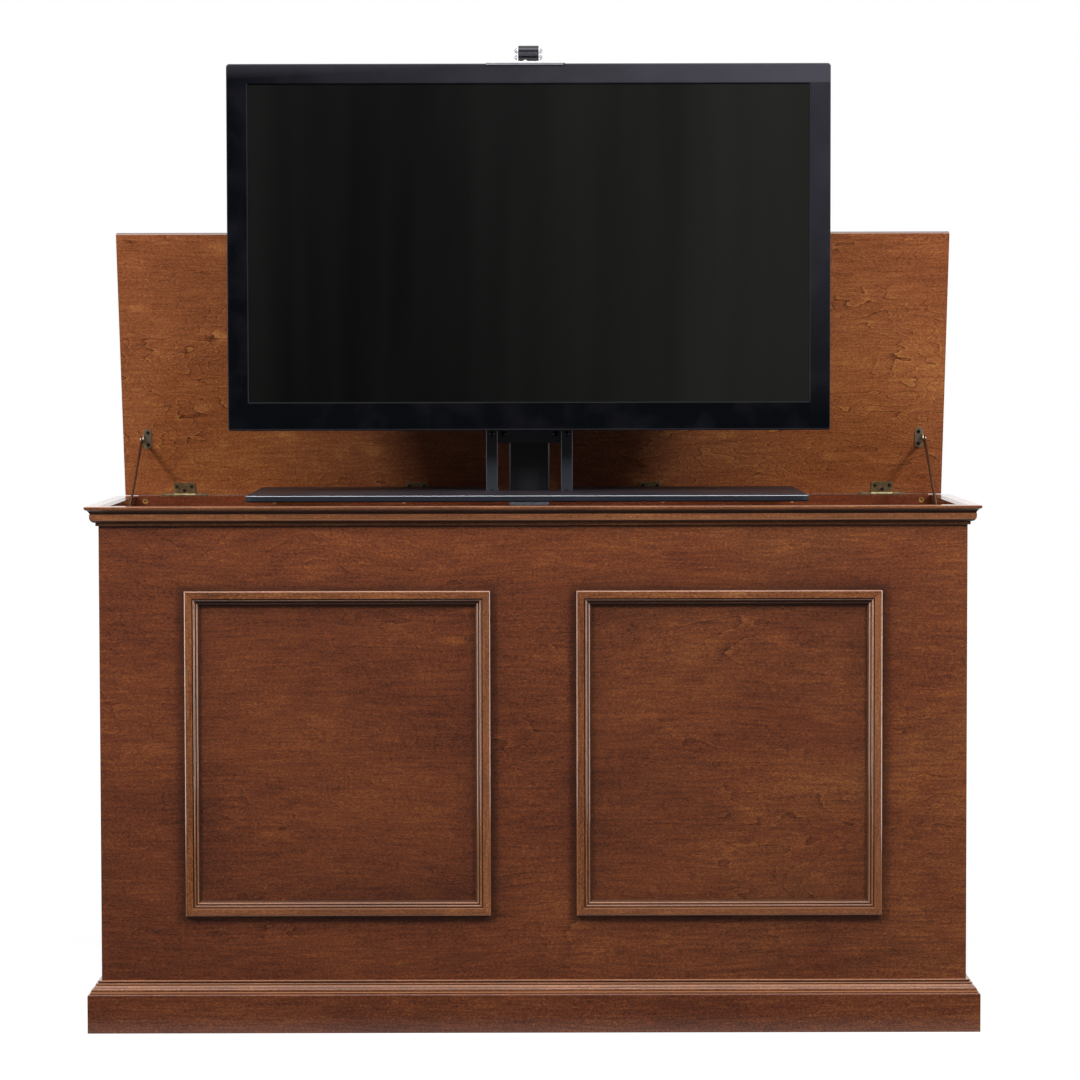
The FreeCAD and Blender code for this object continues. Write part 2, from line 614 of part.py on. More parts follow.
def hinge_rail_leaves():
    """The wide leaves on the rail, each with a window that the lid's leaf nests in."""
    window = HINGE_NARROW / 2 + HINGE_NEST
    reach = HINGE_LEAF_LENGTH + HINGE_NEST
    leaves = []
    for x in hinge_centres():
        plate = box(x - HINGE_WIDTH / 2, x + HINGE_WIDTH / 2, BACK - reach - HINGE_BRIDGE,
                    HINGE_AXIS.y, RIM, RIM + LEAF)
        hole = box(x - window, x + window, BACK - reach, HINGE_AXIS.y + 1, RIM - 1, RIM + LEAF + 1)
        ends = [knuckle(x - HINGE_WIDTH / 2, x - window), knuckle(x + window, x + HINGE_WIDTH / 2)]
        leaf = plate.cut(hole).fuse(ends).cut([pin_bore(x)] + rail_screw_holes())
        leaves.append(leaf.removeSplitter())
    return Part.makeCompound(leaves)


def hinge_lid_leaves():
    """The narrow leaves under the lid."""
    leaves = []
    for x in hinge_centres():
        half = HINGE_NARROW / 2
        plate = box(x - half, x + half, BACK - HINGE_LEAF_LENGTH, HINGE_AXIS.y,
                    RIM + LEAF_LIFT, RIM + UNDERSIDE)
        plate = round_edges(plate, 2.0, lambda edge: runs_along(edge, "z")
                            and edge.BoundBox.YMax < BACK - HINGE_LEAF_LENGTH + 1e-3)
        leaf = plate.fuse(knuckle(x - half, x + half)).cut([pin_bore(x)] + lid_screw_holes())
        leaves.append(leaf.removeSplitter())
    return opened(Part.makeCompound(leaves))


def hinge_pins():
    pins = [rod(Vector(x - HINGE_WIDTH / 2, HINGE_AXIS.y, HINGE_AXIS.z), X, HINGE_PIN, HINGE_WIDTH)
            for x in hinge_centres()]
    return Part.makeCompound(pins)


def stay_lid_pivot():
    """The lid pivot's place with the lid open, in the middle plane."""
    pivot = Vector(0, HINGE_AXIS.y - STAY_ALONG, RIM + UNDERSIDE - STAY_STANDOFF)
    turn = FreeCAD.Rotation(-X, LID_OPEN)
    return HINGE_AXIS + turn.multVec(pivot - HINGE_AXIS)


def stay_pin():
    """The sliding pin's place with the lid open."""
    slope = math.radians(STAY_SLOPE)
    return stay_lid_pivot() - Vector(0, STAY_ARM * math.cos(slope), STAY_ARM * math.sin(slope))


def stay_pin_closed():
    """How far forward the pin comes when the lid is closed."""
    drop = RIM + UNDERSIDE - STAY_STANDOFF - stay_pin().z
    return HINGE_AXIS.y - STAY_ALONG - math.sqrt(STAY_ARM ** 2 - drop ** 2)


ARM_IN = STAY_X - STAY_THICK / 2                        # arm's inner face
ARM_OUT = STAY_X + STAY_THICK / 2
TRACK_IN = ARM_OUT + STAY_GAP                           # track's inner face


def stay_arm(side):
    """A flat bar with an eye at the lid and a flanged pin that slides in the track."""
    top = stay_lid_pivot()
    pin = stay_pin()
    up = (pin - top).normalize().cross(X).normalize() * (STAY_WIDTH / 2)
    at = X * ARM_IN
    bar = prism([top - up + at, pin - up + at, pin + up + at, top + up + at], X * STAY_THICK)
    ends = [rod(point + at, X, STAY_WIDTH / 2, STAY_THICK) for point in (top, pin)]
    shank = rod(pin + X * ARM_IN, X, STAY_RIVET, TRACK_IN + TRACK_FACE + 0.4 - ARM_IN)
    flange = rod(pin + X * (TRACK_IN + TRACK_FACE + 0.4), X, STAY_FLANGE, STAY_FLANGE_THICK)
    head = rod(pin + X * ARM_IN, -X, STAY_RIVET + 1.5, STAY_HEAD)
    eye = rod(top + at - X, X, STAY_RIVET + STAY_PLAY, STAY_THICK + 2)
    shape = bar.fuse(ends + [shank, flange, head]).cut(eye).removeSplitter()
    return shape if side > 0 else shape.mirror(Vector(0, 0, 0), X)


def obround(x0, x1, y0, y1, z, radius):
    """A block with round ends between two places along Y."""
    block = box(x0, x1, y0, y1, z - radius, z + radius)
    return block.fuse([rod(Vector(x0, y, z), X, radius, x1 - x0) for y in (y0, y1)]).removeSplitter()


def stay_tracks():
    """Slotted tracks on the side panels, closed at the ends so that the pin stops there."""
    def track(side):
        pin = stay_pin()
        rear = pin.y - (TRACK_SLOT_PLAY - TRACK_STOP_GAP)
        fore = stay_pin_closed() - TRACK_SPARE
        body = box(TRACK_IN, INSIDE, fore - STAY_FLANGE - TRACK_END, rear + STAY_FLANGE + TRACK_END,
                   pin.z - TRACK_HEIGHT / 2, pin.z + TRACK_HEIGHT / 2)
        body = round_edges(body, 1.0, lambda edge: edge.BoundBox.XMax < TRACK_IN + 1e-3)
        slot = obround(TRACK_IN - 1, TRACK_IN + TRACK_FACE + 1, fore, rear, pin.z,
                       STAY_RIVET + TRACK_SLOT_PLAY)
        hollow = obround(TRACK_IN + TRACK_FACE, INSIDE - TRACK_BACK, fore, rear, pin.z,
                         STAY_FLANGE + TRACK_FLANGE_PLAY)
        shape = body.cut([slot, hollow])
        return shape if side > 0 else shape.mirror(Vector(0, 0, 0), X)
    return both_sides(track)


def stay_plate_middle():
    """Middle of the oval plate on the closed lid, right side."""
    x = ARM_IN - STAY_GAP - STAY_PLATE_WIDTH / 2
    return Vector(x, HINGE_AXIS.y - STAY_ALONG, RIM + UNDERSIDE - STAY_PLATE_THICK)


def stay_lid_plates():
    """Oval plates on the lid, each with an upright ear that carries the arm's rivet."""
    def plate(side):
        middle = stay_plate_middle()
        pivot = Vector(0, middle.y, RIM + UNDERSIDE - STAY_STANDOFF)
        ear_out = ARM_IN - STAY_GAP
        ear_in = ear_out - STAY_PLATE_THICK
        radius = STAY_PLATE_WIDTH / 2
        half = STAY_PLATE_LENGTH / 2 - radius
        shape = box(middle.x - radius, middle.x + radius, middle.y - half, middle.y + half,
                    middle.z, RIM + UNDERSIDE)
        shape = shape.fuse([rod(middle + Y * (end * half), Z, radius, STAY_PLATE_THICK)
                            for end in (-1, 1)])
        ear = box(ear_in, ear_out, pivot.y - STAY_EAR, pivot.y + STAY_EAR, pivot.z, RIM + UNDERSIDE)
        ear = ear.fuse(rod(pivot + X * ear_in, X, STAY_EAR, STAY_PLATE_THICK))
        shank = rod(pivot + X * ear_in, X, STAY_RIVET, ARM_OUT + STAY_GAP - ear_in + 0.5)
        head = rod(pivot + X * (ARM_OUT + STAY_GAP), X, STAY_RIVET + 2.0, STAY_HEAD)
        shape = shape.fuse([ear, shank, head]).cut(lid_screw_holes()).removeSplitter()
        return shape if side > 0 else shape.mirror(Vector(0, 0, 0), X)
    return opened(both_sides(plate))


# ================================================================ screws
def screw_body(point, direction, length):
    """The space that a countersunk screw takes, from its flat head along a direction."""
    depth = SCREW_HEAD - SCREW_SHANK
    cone = Part.makeCone(SCREW_HEAD, SCREW_SHANK, depth, point, direction)
    return cone.fuse(rod(point + direction * depth, direction, SCREW_SHANK, length - depth))


def screw(point, direction, length):
    """A countersunk screw with a cross in its head."""
    arm = SCREW_HEAD * 0.55
    half = SCREW_RECESS / 2
    low, high = point.z - SCREW_RECESS_DEPTH, point.z + SCREW_RECESS_DEPTH
    bars = [box(point.x - arm, point.x + arm, point.y - half, point.y + half, low, high),
            box(point.x - half, point.x + half, point.y - arm, point.y + arm, low, high)]
    return screw_body(point, direction, length).cut(bars)


HINGE_SCREWS = ((-HINGE_SCREW_SIDE, HINGE_SCREW_FAR), (HINGE_SCREW_SIDE, HINGE_SCREW_FAR),
                (0.0, HINGE_SCREW_NEAR))


def lid_screw_places():
    """Screw heads under the closed lid: three in each hinge leaf, two in each stay plate."""
    hinge = [Vector(x + dx, BACK - along, RIM + LEAF_LIFT)
             for x in hinge_centres() for dx, along in HINGE_SCREWS]
    plate = stay_plate_middle()
    stays = [Vector(side * (plate.x - STAY_PLATE_SCREW_IN), plate.y + end * STAY_PLATE_SCREW_ALONG, plate.z)
             for side in (-1, 1) for end in (-1, 1)]
    return hinge + stays


def lid_screw_holes():
    return [screw_body(point, Z, LID_SCREW_LENGTH) for point in lid_screw_places()]


def lid_screws():
    screws = [screw(point, Z, LID_SCREW_LENGTH) for point in lid_screw_places()]
    return opened(Part.makeCompound(screws))


def rail_screw_places():
    """Screw heads in the rail's hinge leaves, two in each wing."""
    wing = (HINGE_WIDTH / 2 + HINGE_NARROW / 2 + HINGE_NEST) / 2
    return [Vector(x + side * wing, BACK - along, RIM + LEAF)
            for x in hinge_centres() for side in (-1, 1) for along in RAIL_SCREW_ROWS]


def rail_screw_holes():
    return [screw_body(point, -Z, RAIL_SCREW_LENGTH) for point in rail_screw_places()]


def rail_screws():
    return Part.makeCompound([screw(point, -Z, RAIL_SCREW_LENGTH) for point in rail_screw_places()])


# ================================================================ lift, fixed stage
def lift_base_plate():
    y0 = COLUMN_FRONT - BASE_PLATE_FRONT
    plate = box(LIFT_X - BASE_PLATE_WIDTH / 2, LIFT_X + BASE_PLATE_WIDTH / 2,
                y0, y0 + BASE_PLATE_DEPTH, BOTTOM_TOP, BOTTOM_TOP + BASE_PLATE_THICK)
    return round_edges(plate, 12.0, lambda edge: runs_along(edge, "z"))


def lift_outer_column():
    return rectangle_tube(OUTER_WIDTH, OUTER_DEPTH, TUBE_WALL, TUBE_RADIUS + STEP,
                          BOTTOM_TOP + BASE_PLATE_THICK, OUTER_TOP)


def lift_motor():
    """Gearbox and upright motor behind the foot of the column."""
    z0 = BOTTOM_TOP + BASE_PLATE_THICK
    gearbox = box(LIFT_X - OUTER_WIDTH / 2 + 6, LIFT_X + OUTER_WIDTH / 2 - 6,
                  COLUMN_REAR, COLUMN_REAR + GEARBOX_DEPTH, z0, z0 + GEARBOX_HEIGHT)
    gearbox = round_edges(gearbox, 6.0, lambda edge: runs_along(edge, "z")
                          and edge.BoundBox.YMin > COLUMN_REAR + 1)
    centre = Vector(LIFT_X, COLUMN_REAR + GEARBOX_DEPTH - MOTOR_RADIUS - 6, z0 + GEARBOX_HEIGHT)
    motor = rod(centre, Z, MOTOR_RADIUS, MOTOR_HEIGHT)
    motor = round_edges(motor, 6.0, lambda edge: edge.BoundBox.ZMin > centre.z + MOTOR_HEIGHT - 1
                        and edge.BoundBox.ZLength < 1e-6)
    flange = rod(centre, Z, MOTOR_RADIUS + 4, 8.0)
    return gearbox.fuse([motor, flange]).removeSplitter()


def lift_brace():
    """A channel bracket from the column to the fixed back panel."""
    half = BRACE_WIDTH / 2
    top = BRACE_BOTTOM + BRACE_HEIGHT
    outer = box(LIFT_X - half, LIFT_X + half, COLUMN_REAR, BACK - BACK_BOARD, BRACE_BOTTOM, top)
    hollow = box(LIFT_X - half + BRACE_THICK, LIFT_X + half - BRACE_THICK, COLUMN_REAR + BRACE_THICK,
                 BACK - BACK_BOARD - BRACE_THICK, BRACE_BOTTOM - 1, top - BRACE_THICK)
    return outer.cut(hollow)


def lift_base_bolts():
    """Hexagon bolt heads with washers at the corners of the base plate."""
    y0 = COLUMN_FRONT - BASE_PLATE_FRONT
    top = BOTTOM_TOP + BASE_PLATE_THICK
    bolts = []
    for x in (LIFT_X - BASE_PLATE_WIDTH / 2 + BASE_BOLT_INSET,
              LIFT_X + BASE_PLATE_WIDTH / 2 - BASE_BOLT_INSET):
        for y in (y0 + BASE_BOLT_INSET, y0 + BASE_PLATE_DEPTH - BASE_BOLT_INSET):
            corners = [Vector(x + BASE_BOLT_RADIUS * math.cos(math.radians(60 * step)),
                              y + BASE_BOLT_RADIUS * math.sin(math.radians(60 * step)),
                              top + BASE_WASHER) for step in range(6)]
            head = prism(corners, Z * (BASE_BOLT_HEAD - BASE_WASHER))
            washer = rod(Vector(x, y, top), Z, BASE_WASHER_RADIUS, BASE_WASHER)
            bolts.append(head.fuse(washer))
    return Part.makeCompound(bolts)


def lift_control_box():
    width, depth, height = CONTROL_BOX
    rear = BACK - BACK_BOARD - 12.0
    shape = box(CONTROL_BOX_X - width / 2, CONTROL_BOX_X + width / 2, rear - depth, rear,
                BOTTOM_TOP, BOTTOM_TOP + height)
    return round_edges(shape, 4.0, lambda edge: edge.BoundBox.ZMax > BOTTOM_TOP + 1)


# ================================================================ lift, moving stages
def glide_ring(outside_width, outside_depth, z0):
    """A plastic sleeve on the foot of a tube, running inside the next tube out."""
    gap = STAGE_GAP - GLIDE_PLAY
    outer = box(LIFT_X - outside_width / 2 - gap, LIFT_X + outside_width / 2 + gap,
                COLUMN_Y - outside_depth / 2 - gap, COLUMN_Y + outside_depth / 2 + gap,
                z0, z0 + GLIDE_LENGTH)
    outer = round_edges(outer, TUBE_RADIUS + STEP, lambda edge: runs_along(edge, "z"))
    inner = box(LIFT_X - outside_width / 2, LIFT_X + outside_width / 2,
                COLUMN_Y - outside_depth / 2, COLUMN_Y + outside_depth / 2,
                z0 - 1, z0 + GLIDE_LENGTH + 1)
    inner = round_edges(inner, TUBE_RADIUS, lambda edge: runs_along(edge, "z"))
    return outer.cut(inner)


def lift_mid_column():
    return rectangle_tube(MID_WIDTH, MID_DEPTH, TUBE_WALL, TUBE_RADIUS, MID_BOTTOM, MID_TOP)


def lift_mid_glide():
    return glide_ring(MID_WIDTH, MID_DEPTH, MID_BOTTOM)


def lift_mast():
    return rectangle_tube(MAST_WIDTH, MAST_DEPTH, TUBE_WALL, TUBE_RADIUS, MAST_BOTTOM, MAST_TOP)


def lift_mast_glide():
    return glide_ring(MAST_WIDTH, MAST_DEPTH, MAST_BOTTOM)


def mast_head():
    """A channel that stands off the mast's top end and carries the upper crossbar."""
    z0 = MAST_TOP - HEAD_HEIGHT
    half = HEAD_WIDTH / 2
    start = CROSSBAR_REAR
    outer = box(LIFT_X - half, LIFT_X + half, start, MAST_FRONT, z0, MAST_TOP)
    ears = [box(LIFT_X + side * MAST_WIDTH / 2 - (HEAD_THICK if side < 0 else 0),
                LIFT_X + side * MAST_WIDTH / 2 + (HEAD_THICK if side > 0 else 0),
                MAST_FRONT, COLUMN_Y + MAST_DEPTH / 2, z0, MAST_TOP) for side in (-1, 1)]
    hollow = box(LIFT_X - half + HEAD_THICK, LIFT_X + half - HEAD_THICK, start + HEAD_THICK,
                 MAST_FRONT - HEAD_THICK, z0 + HEAD_THICK, MAST_TOP + 1)
    return outer.cut(hollow).fuse(ears).removeSplitter()


def upper_crossbar():
    """A rectangular tube across the two rails, near the top of the mast."""
    z0 = MAST_TOP - HEAD_HEIGHT
    half = TV_RAIL_PITCH / 2 + TV_RAIL_WIDTH / 2
    wall = CROSSBAR_WALL
    bar = box(LIFT_X - half, LIFT_X + half, RAIL_REAR, CROSSBAR_REAR, z0, MAST_TOP)
    return bar.cut(box(LIFT_X - half - 1, LIFT_X + half + 1, RAIL_REAR + wall, CROSSBAR_REAR - wall,
                       z0 + wall, MAST_TOP - wall))


def crossbar_bolt_places():
    outer = TV_RAIL_PITCH / 2
    return [-outer, -INNER_BOLT_OFFSET, INNER_BOLT_OFFSET, outer]


def lower_crossbar():
    """A folded bar across the two rails, just below the television."""
    z0 = TV_BOTTOM - CROSSBAR_DROP
    half = TV_RAIL_PITCH / 2 + TV_RAIL_WIDTH / 2
    face = box(LIFT_X - half, LIFT_X + half, RAIL_REAR, RAIL_REAR + CROSSBAR_WALL,
               z0 + CROSSBAR_DROP / 2, z0 + CROSSBAR_DROP + CROSSBAR_HEIGHT)
    web = box(LIFT_X - half, LIFT_X + half, RAIL_REAR, CROSSBAR_REAR,
              z0 + CROSSBAR_DROP / 2, z0 + CROSSBAR_DROP / 2 + CROSSBAR_WALL)
    back = box(LIFT_X - half, LIFT_X + half, CROSSBAR_REAR - CROSSBAR_WALL, CROSSBAR_REAR,
               z0, z0 + CROSSBAR_DROP / 2 + CROSSBAR_WALL)
    return face.fuse([web, back]).removeSplitter()


def carriage_bolts():
    """Button heads on the rails, the lower crossbar, the shelf and the lid opener's plate."""
    z = TV_BOTTOM - 3.0 - BOLT_HEAD_RADIUS
    bolts = []
    for x in crossbar_bolt_places():
        face = RAIL_FACE if abs(x) > INNER_BOLT_OFFSET + 1 else RAIL_REAR
        bolts.append(dome(Vector(LIFT_X + x, face, z), -Y, BOLT_HEAD_RADIUS, BOLT_HEAD))
    for x in (-1, 1):
        place = Vector(LIFT_X + x * TV_RAIL_PITCH / 2, RAIL_FACE - SHELF_BOLT_AHEAD, SHELF_TOP)
        bolts.append(dome(place, Z, SHELF_BOLT_RADIUS, BOLT_HEAD))
    place = Vector(LIFT_X + OPENER_SCREW_X, TV_FACE + OPENER_SCREW_BACK, OPENER_TOP)
    bolts.append(dome(place, Z, OPENER_SCREW_RADIUS, OPENER_SCREW_RADIUS * 0.8))
    return Part.makeCompound(bolts)


def tv_rail(side):
    """A folded rail that stands on the shelf and carries the television."""
    x = LIFT_X + side * TV_RAIL_PITCH / 2
    half = TV_RAIL_WIDTH / 2
    outer = box(x - half, x + half, RAIL_FACE, RAIL_REAR, SHELF_TOP, TV_RAIL_TOP)
    outer = round_edges(outer, 2.0, lambda edge: runs_along(edge, "z")
                        and edge.BoundBox.YMax < RAIL_FACE + 1)
    hollow = box(x - half + TV_RAIL_WALL, x + half - TV_RAIL_WALL, RAIL_FACE + TV_RAIL_WALL,
                 RAIL_REAR + 1, SHELF_TOP + TV_RAIL_WALL, TV_RAIL_TOP - TV_RAIL_WALL)
    return outer.cut(hollow)


def vesa_plate():
    """The plate that the television is screwed to, with its square of holes."""
    middle = TV_BOTTOM + TV_HEIGHT / 2
    half = VESA_SIZE / 2
    plate = box(LIFT_X - half, LIFT_X + half, TV_BACK, RAIL_FACE, middle - half, middle + half)
    plate = round_edges(plate, PLATE_CORNER, lambda edge: runs_along(edge, "y"))
    holes = vesa_screw_rods(VESA_HOLE_RADIUS, TV_BACK - 1, RAIL_FACE + 1)
    height = VESA_HOLE_PITCH / 2 - PLATE_WINDOW_END
    windows = []
    for side in (-1, 1):
        x = LIFT_X + side * (TV_RAIL_PITCH / 2 + PLATE_WINDOW_REACH)
        window = box(x - PLATE_WINDOW_WIDTH / 2, x + PLATE_WINDOW_WIDTH / 2, TV_BACK - 1, RAIL_FACE + 1,
                     middle - height, middle + height)
        windows.append(round_edges(window, PLATE_WINDOW_CORNER, lambda edge: runs_along(edge, "y")))
    return plate.cut(holes + windows)


def vesa_screw_rods(radius, y0, y1):
    middle = TV_BOTTOM + TV_HEIGHT / 2
    pitch = VESA_HOLE_PITCH / 2
    return [rod(Vector(LIFT_X + x * pitch, y0, middle + z * pitch), Y, radius, y1 - y0)
            for x in (-1, 1) for z in (-1, 1)]


def vesa_screws():
    """Four screws through the plate into the television's rear cover."""
    shanks = vesa_screw_rods(VESA_SCREW_RADIUS, TV_BACK - COVER_WALL, RAIL_FACE)
    heads = vesa_screw_rods(VESA_SCREW_HEAD, RAIL_FACE, RAIL_FACE + BOLT_HEAD)
    return Part.makeCompound([shank.fuse(head) for shank, head in zip(shanks, heads)])


def tv_shelf():
    """The shelf under the television, notched round the column."""
    middle = LIFT_X + SHELF_SHIFT
    x0, x1 = middle - SHELF_WIDTH / 2, middle + SHELF_WIDTH / 2
    y1 = SHELF_FRONT + SHELF_DEPTH
    board = box(x0, x1, SHELF_FRONT, y1, SHELF_BOTTOM, SHELF_TOP)
    board = round_edges(board, SHELF_CORNER, lambda edge: runs_along(edge, "z"))
    centre = LIFT_X + NOTCH_SHIFT
    notch = box(centre - NOTCH_WIDTH / 2, centre + NOTCH_WIDTH / 2, NOTCH_FRONT, y1 + 20,
                SHELF_BOTTOM - 1, SHELF_TOP + 1)
    notch = round_edges(notch, NOTCH_RADIUS, lambda edge: runs_along(edge, "z")
                        and edge.BoundBox.YMax < NOTCH_FRONT + 1)
    board = round_edges(board, SHELF_EDGE, lambda edge: edge.BoundBox.ZLength < 1e-6)
    return board.cut(notch)


# ================================================================ television
def rounded_slab(width, height, y0, y1, z_middle, corner):
    slab = box(LIFT_X - width / 2, LIFT_X + width / 2, y0, y1,
               z_middle - height / 2, z_middle + height / 2)
    return round_edges(slab, corner, lambda edge: runs_along(edge, "y"))


def screen_middle():
    return TV_BOTTOM + BEZEL_BOTTOM + SCREEN_HEIGHT / 2


def tv_bezel():
    """The front frame: a face with a lip over the screen's edge, and side walls."""
    outer = rounded_slab(TV_WIDTH, TV_HEIGHT, TV_FACE, TV_FACE + BEZEL_DEPTH,
                         TV_BOTTOM + TV_HEIGHT / 2, 6.0)
    outer = round_edges(outer, 2.5, lambda edge: edge.BoundBox.YMax < TV_FACE + 1e-3)
    window = rounded_slab(SCREEN_WIDTH, SCREEN_HEIGHT, TV_FACE - 1, TV_FACE + BEZEL_DEPTH + 1,
                          screen_middle(), 1.0)
    seat = rounded_slab(SCREEN_WIDTH + 2 * SCREEN_HOLD, SCREEN_HEIGHT + 2 * SCREEN_HOLD,
                        TV_FACE + BEZEL_LIP, TV_FACE + BEZEL_DEPTH + 1, screen_middle(), 1.0)
    frame = outer.cut([window, seat])
    reach = SCREEN_WIDTH / 2 + 1

    def window_edge(edge):
        span = edge.BoundBox
        inside = span.XMin > LIFT_X - reach and span.XMax < LIFT_X + reach
        return inside and span.YMax < TV_FACE + 1e-3
    return frame.makeChamfer(BEZEL_BEVEL, [edge for edge in frame.Edges if window_edge(edge)])


def tv_screen():
    y0 = TV_FACE + BEZEL_LIP
    return rounded_slab(SCREEN_WIDTH + 2 * SCREEN_HOLD, SCREEN_HEIGHT + 2 * SCREEN_HOLD,
                        y0, y0 + SCREEN_THICK, screen_middle(), 1.0)


def tapered_shell(shrink, y0, y1):
    """A block that narrows from the bezel to the flat rear area."""
    middle = TV_BOTTOM + TV_HEIGHT / 2

    def rectangle(width, height, y):
        corners = [Vector(LIFT_X + sx * (width / 2 - shrink), y, middle + sz * (height / 2 - shrink))
                   for sx, sz in ((-1, -1), (1, -1), (1, 1), (-1, 1))]
        return Part.makePolygon(corners + [corners[0]])
    return Part.makeLoft([rectangle(TV_WIDTH - 6, TV_HEIGHT - 6, y0),
                          rectangle(COVER_BACK_WIDTH, COVER_BACK_HEIGHT, y1)], True, True)


def tv_back_cover():
    """The television's hollow rear cover, with a row of vents near its top."""
    y0 = TV_FACE + BEZEL_DEPTH
    flat = TV_BACK
    shell = tapered_shell(0, y0, flat).cut(tapered_shell(COVER_WALL, y0 - 0.01, flat - COVER_WALL))
    middle = TV_BOTTOM + TV_HEIGHT / 2
    top = middle + COVER_BACK_HEIGHT / 2 - 12
    slots = []
    for side in (-1, 1):
        for index in range(COVER_SLOT_COUNT // 2):
            x = LIFT_X + side * (VESA_SIZE / 2 + 16 + COVER_SLOT_PITCH * index * 0.7)
            slots.append(box(x - COVER_SLOT_WIDTH / 2, x + COVER_SLOT_WIDTH / 2,
                             flat - COVER_WALL - 1, flat + 1, top - COVER_SLOT_LENGTH, top))
    return shell.cut(slots + vesa_screw_rods(VESA_SCREW_RADIUS, flat - COVER_WALL - 1, flat + 1))


# ================================================================ lid opener
def ear_places():
    inner = ROLLER_LENGTH / 2 + OPENER_END_GAP
    return [(-1, inner), (1, inner)]


def lid_opener_bracket():
    """A plate over the television with a lip in front, a strap behind and two ears."""
    half = OPENER_PLATE_WIDTH / 2
    front = TV_FACE - OPENER_GAP
    plate = box(LIFT_X - half, LIFT_X + half, front - LIP_THICK, RAIL_FACE, OPENER_BOTTOM, OPENER_TOP)
    middle = LIFT_X + LIP_SHIFT
    lip = box(middle - LIP_WIDTH / 2, middle + LIP_WIDTH / 2, front - LIP_THICK, front,
              OPENER_BOTTOM - LIP_DROP, OPENER_BOTTOM)
    strap = box(LIFT_X - OPENER_STRAP_WIDTH / 2, LIFT_X + OPENER_STRAP_WIDTH / 2, TV_BACK,
                RAIL_FACE, TV_RAIL_TOP, OPENER_BOTTOM)
    pieces = [lip, strap]
    for side, inner in ear_places():
        x = LIFT_X + side * inner
        back = REAR_ROLLER_Y + OPENER_EAR_BACK
        nose = FRONT_ROLLER_Y - OPENER_EAR_FRONT
        corners = [(nose, OPENER_BOTTOM + 1), (back, OPENER_BOTTOM + 1), (back, REAR_ROLLER_Z),
                   (REAR_ROLLER_Y + 4, REAR_ROLLER_Z + OPENER_EAR_CORNER),
                   (FRONT_ROLLER_Y + 4, FRONT_ROLLER_Z + OPENER_EAR_TOP),
                   (FRONT_ROLLER_Y - 4, FRONT_ROLLER_Z + OPENER_EAR_CORNER), (nose, FRONT_ROLLER_Z)]
        pieces.append(prism([Vector(x, y, z) for y, z in corners], X * (side * OPENER_EAR)))
    holes = [rod(Vector(LIFT_X - half, y, z), X, AXLE_RADIUS, OPENER_PLATE_WIDTH)
             for y, z in ((FRONT_ROLLER_Y, FRONT_ROLLER_Z), (REAR_ROLLER_Y, REAR_ROLLER_Z))]
    return plate.fuse(pieces).cut(holes).removeSplitter()


def dome(point, direction, radius, height):
    """A round head whose curved top is a slice of a sphere."""
    sphere_radius = (radius ** 2 + height ** 2) / (2 * height)
    centre = point + direction * (height - sphere_radius)
    ball = Part.makeSphere(sphere_radius, centre)
    return ball.common(rod(point, direction, radius + 1, height + 1))


def cap_nut(place, direction):
    """A round nut with a domed end."""
    collar = rod(place, direction, CAP_NUT_RADIUS, CAP_NUT_COLLAR)
    end = dome(place + direction * CAP_NUT_COLLAR, direction, CAP_NUT_DOME, CAP_NUT_LENGTH - CAP_NUT_COLLAR)
    return collar.fuse(end)


def lid_opener_axles():
    """Two axles with a domed nut on each end."""
    axles = []
    reach = ROLLER_LENGTH / 2 + OPENER_END_GAP + OPENER_EAR
    for y, z in ((FRONT_ROLLER_Y, FRONT_ROLLER_Z), (REAR_ROLLER_Y, REAR_ROLLER_Z)):
        axle = rod(Vector(LIFT_X - reach, y, z), X, AXLE_RADIUS, 2 * reach)
        nuts = [cap_nut(Vector(LIFT_X + side * reach, y, z), X * side) for side in (-1, 1)]
        axles.append(axle.fuse(nuts).removeSplitter())
    return Part.makeCompound(axles)


def lid_opener_roller(y, z):
    """A hard rubber roller that the lid rides on."""
    start = Vector(LIFT_X - ROLLER_LENGTH / 2, y, z)
    body = rod(start, X, ROLLER_RADIUS, ROLLER_LENGTH)
    body = round_edges(body, ROLLER_EDGE, lambda edge: edge.BoundBox.XLength < 1e-6)
    return body.cut(rod(start - X, X, AXLE_RADIUS + ROLLER_BORE_PLAY, ROLLER_LENGTH + 2))


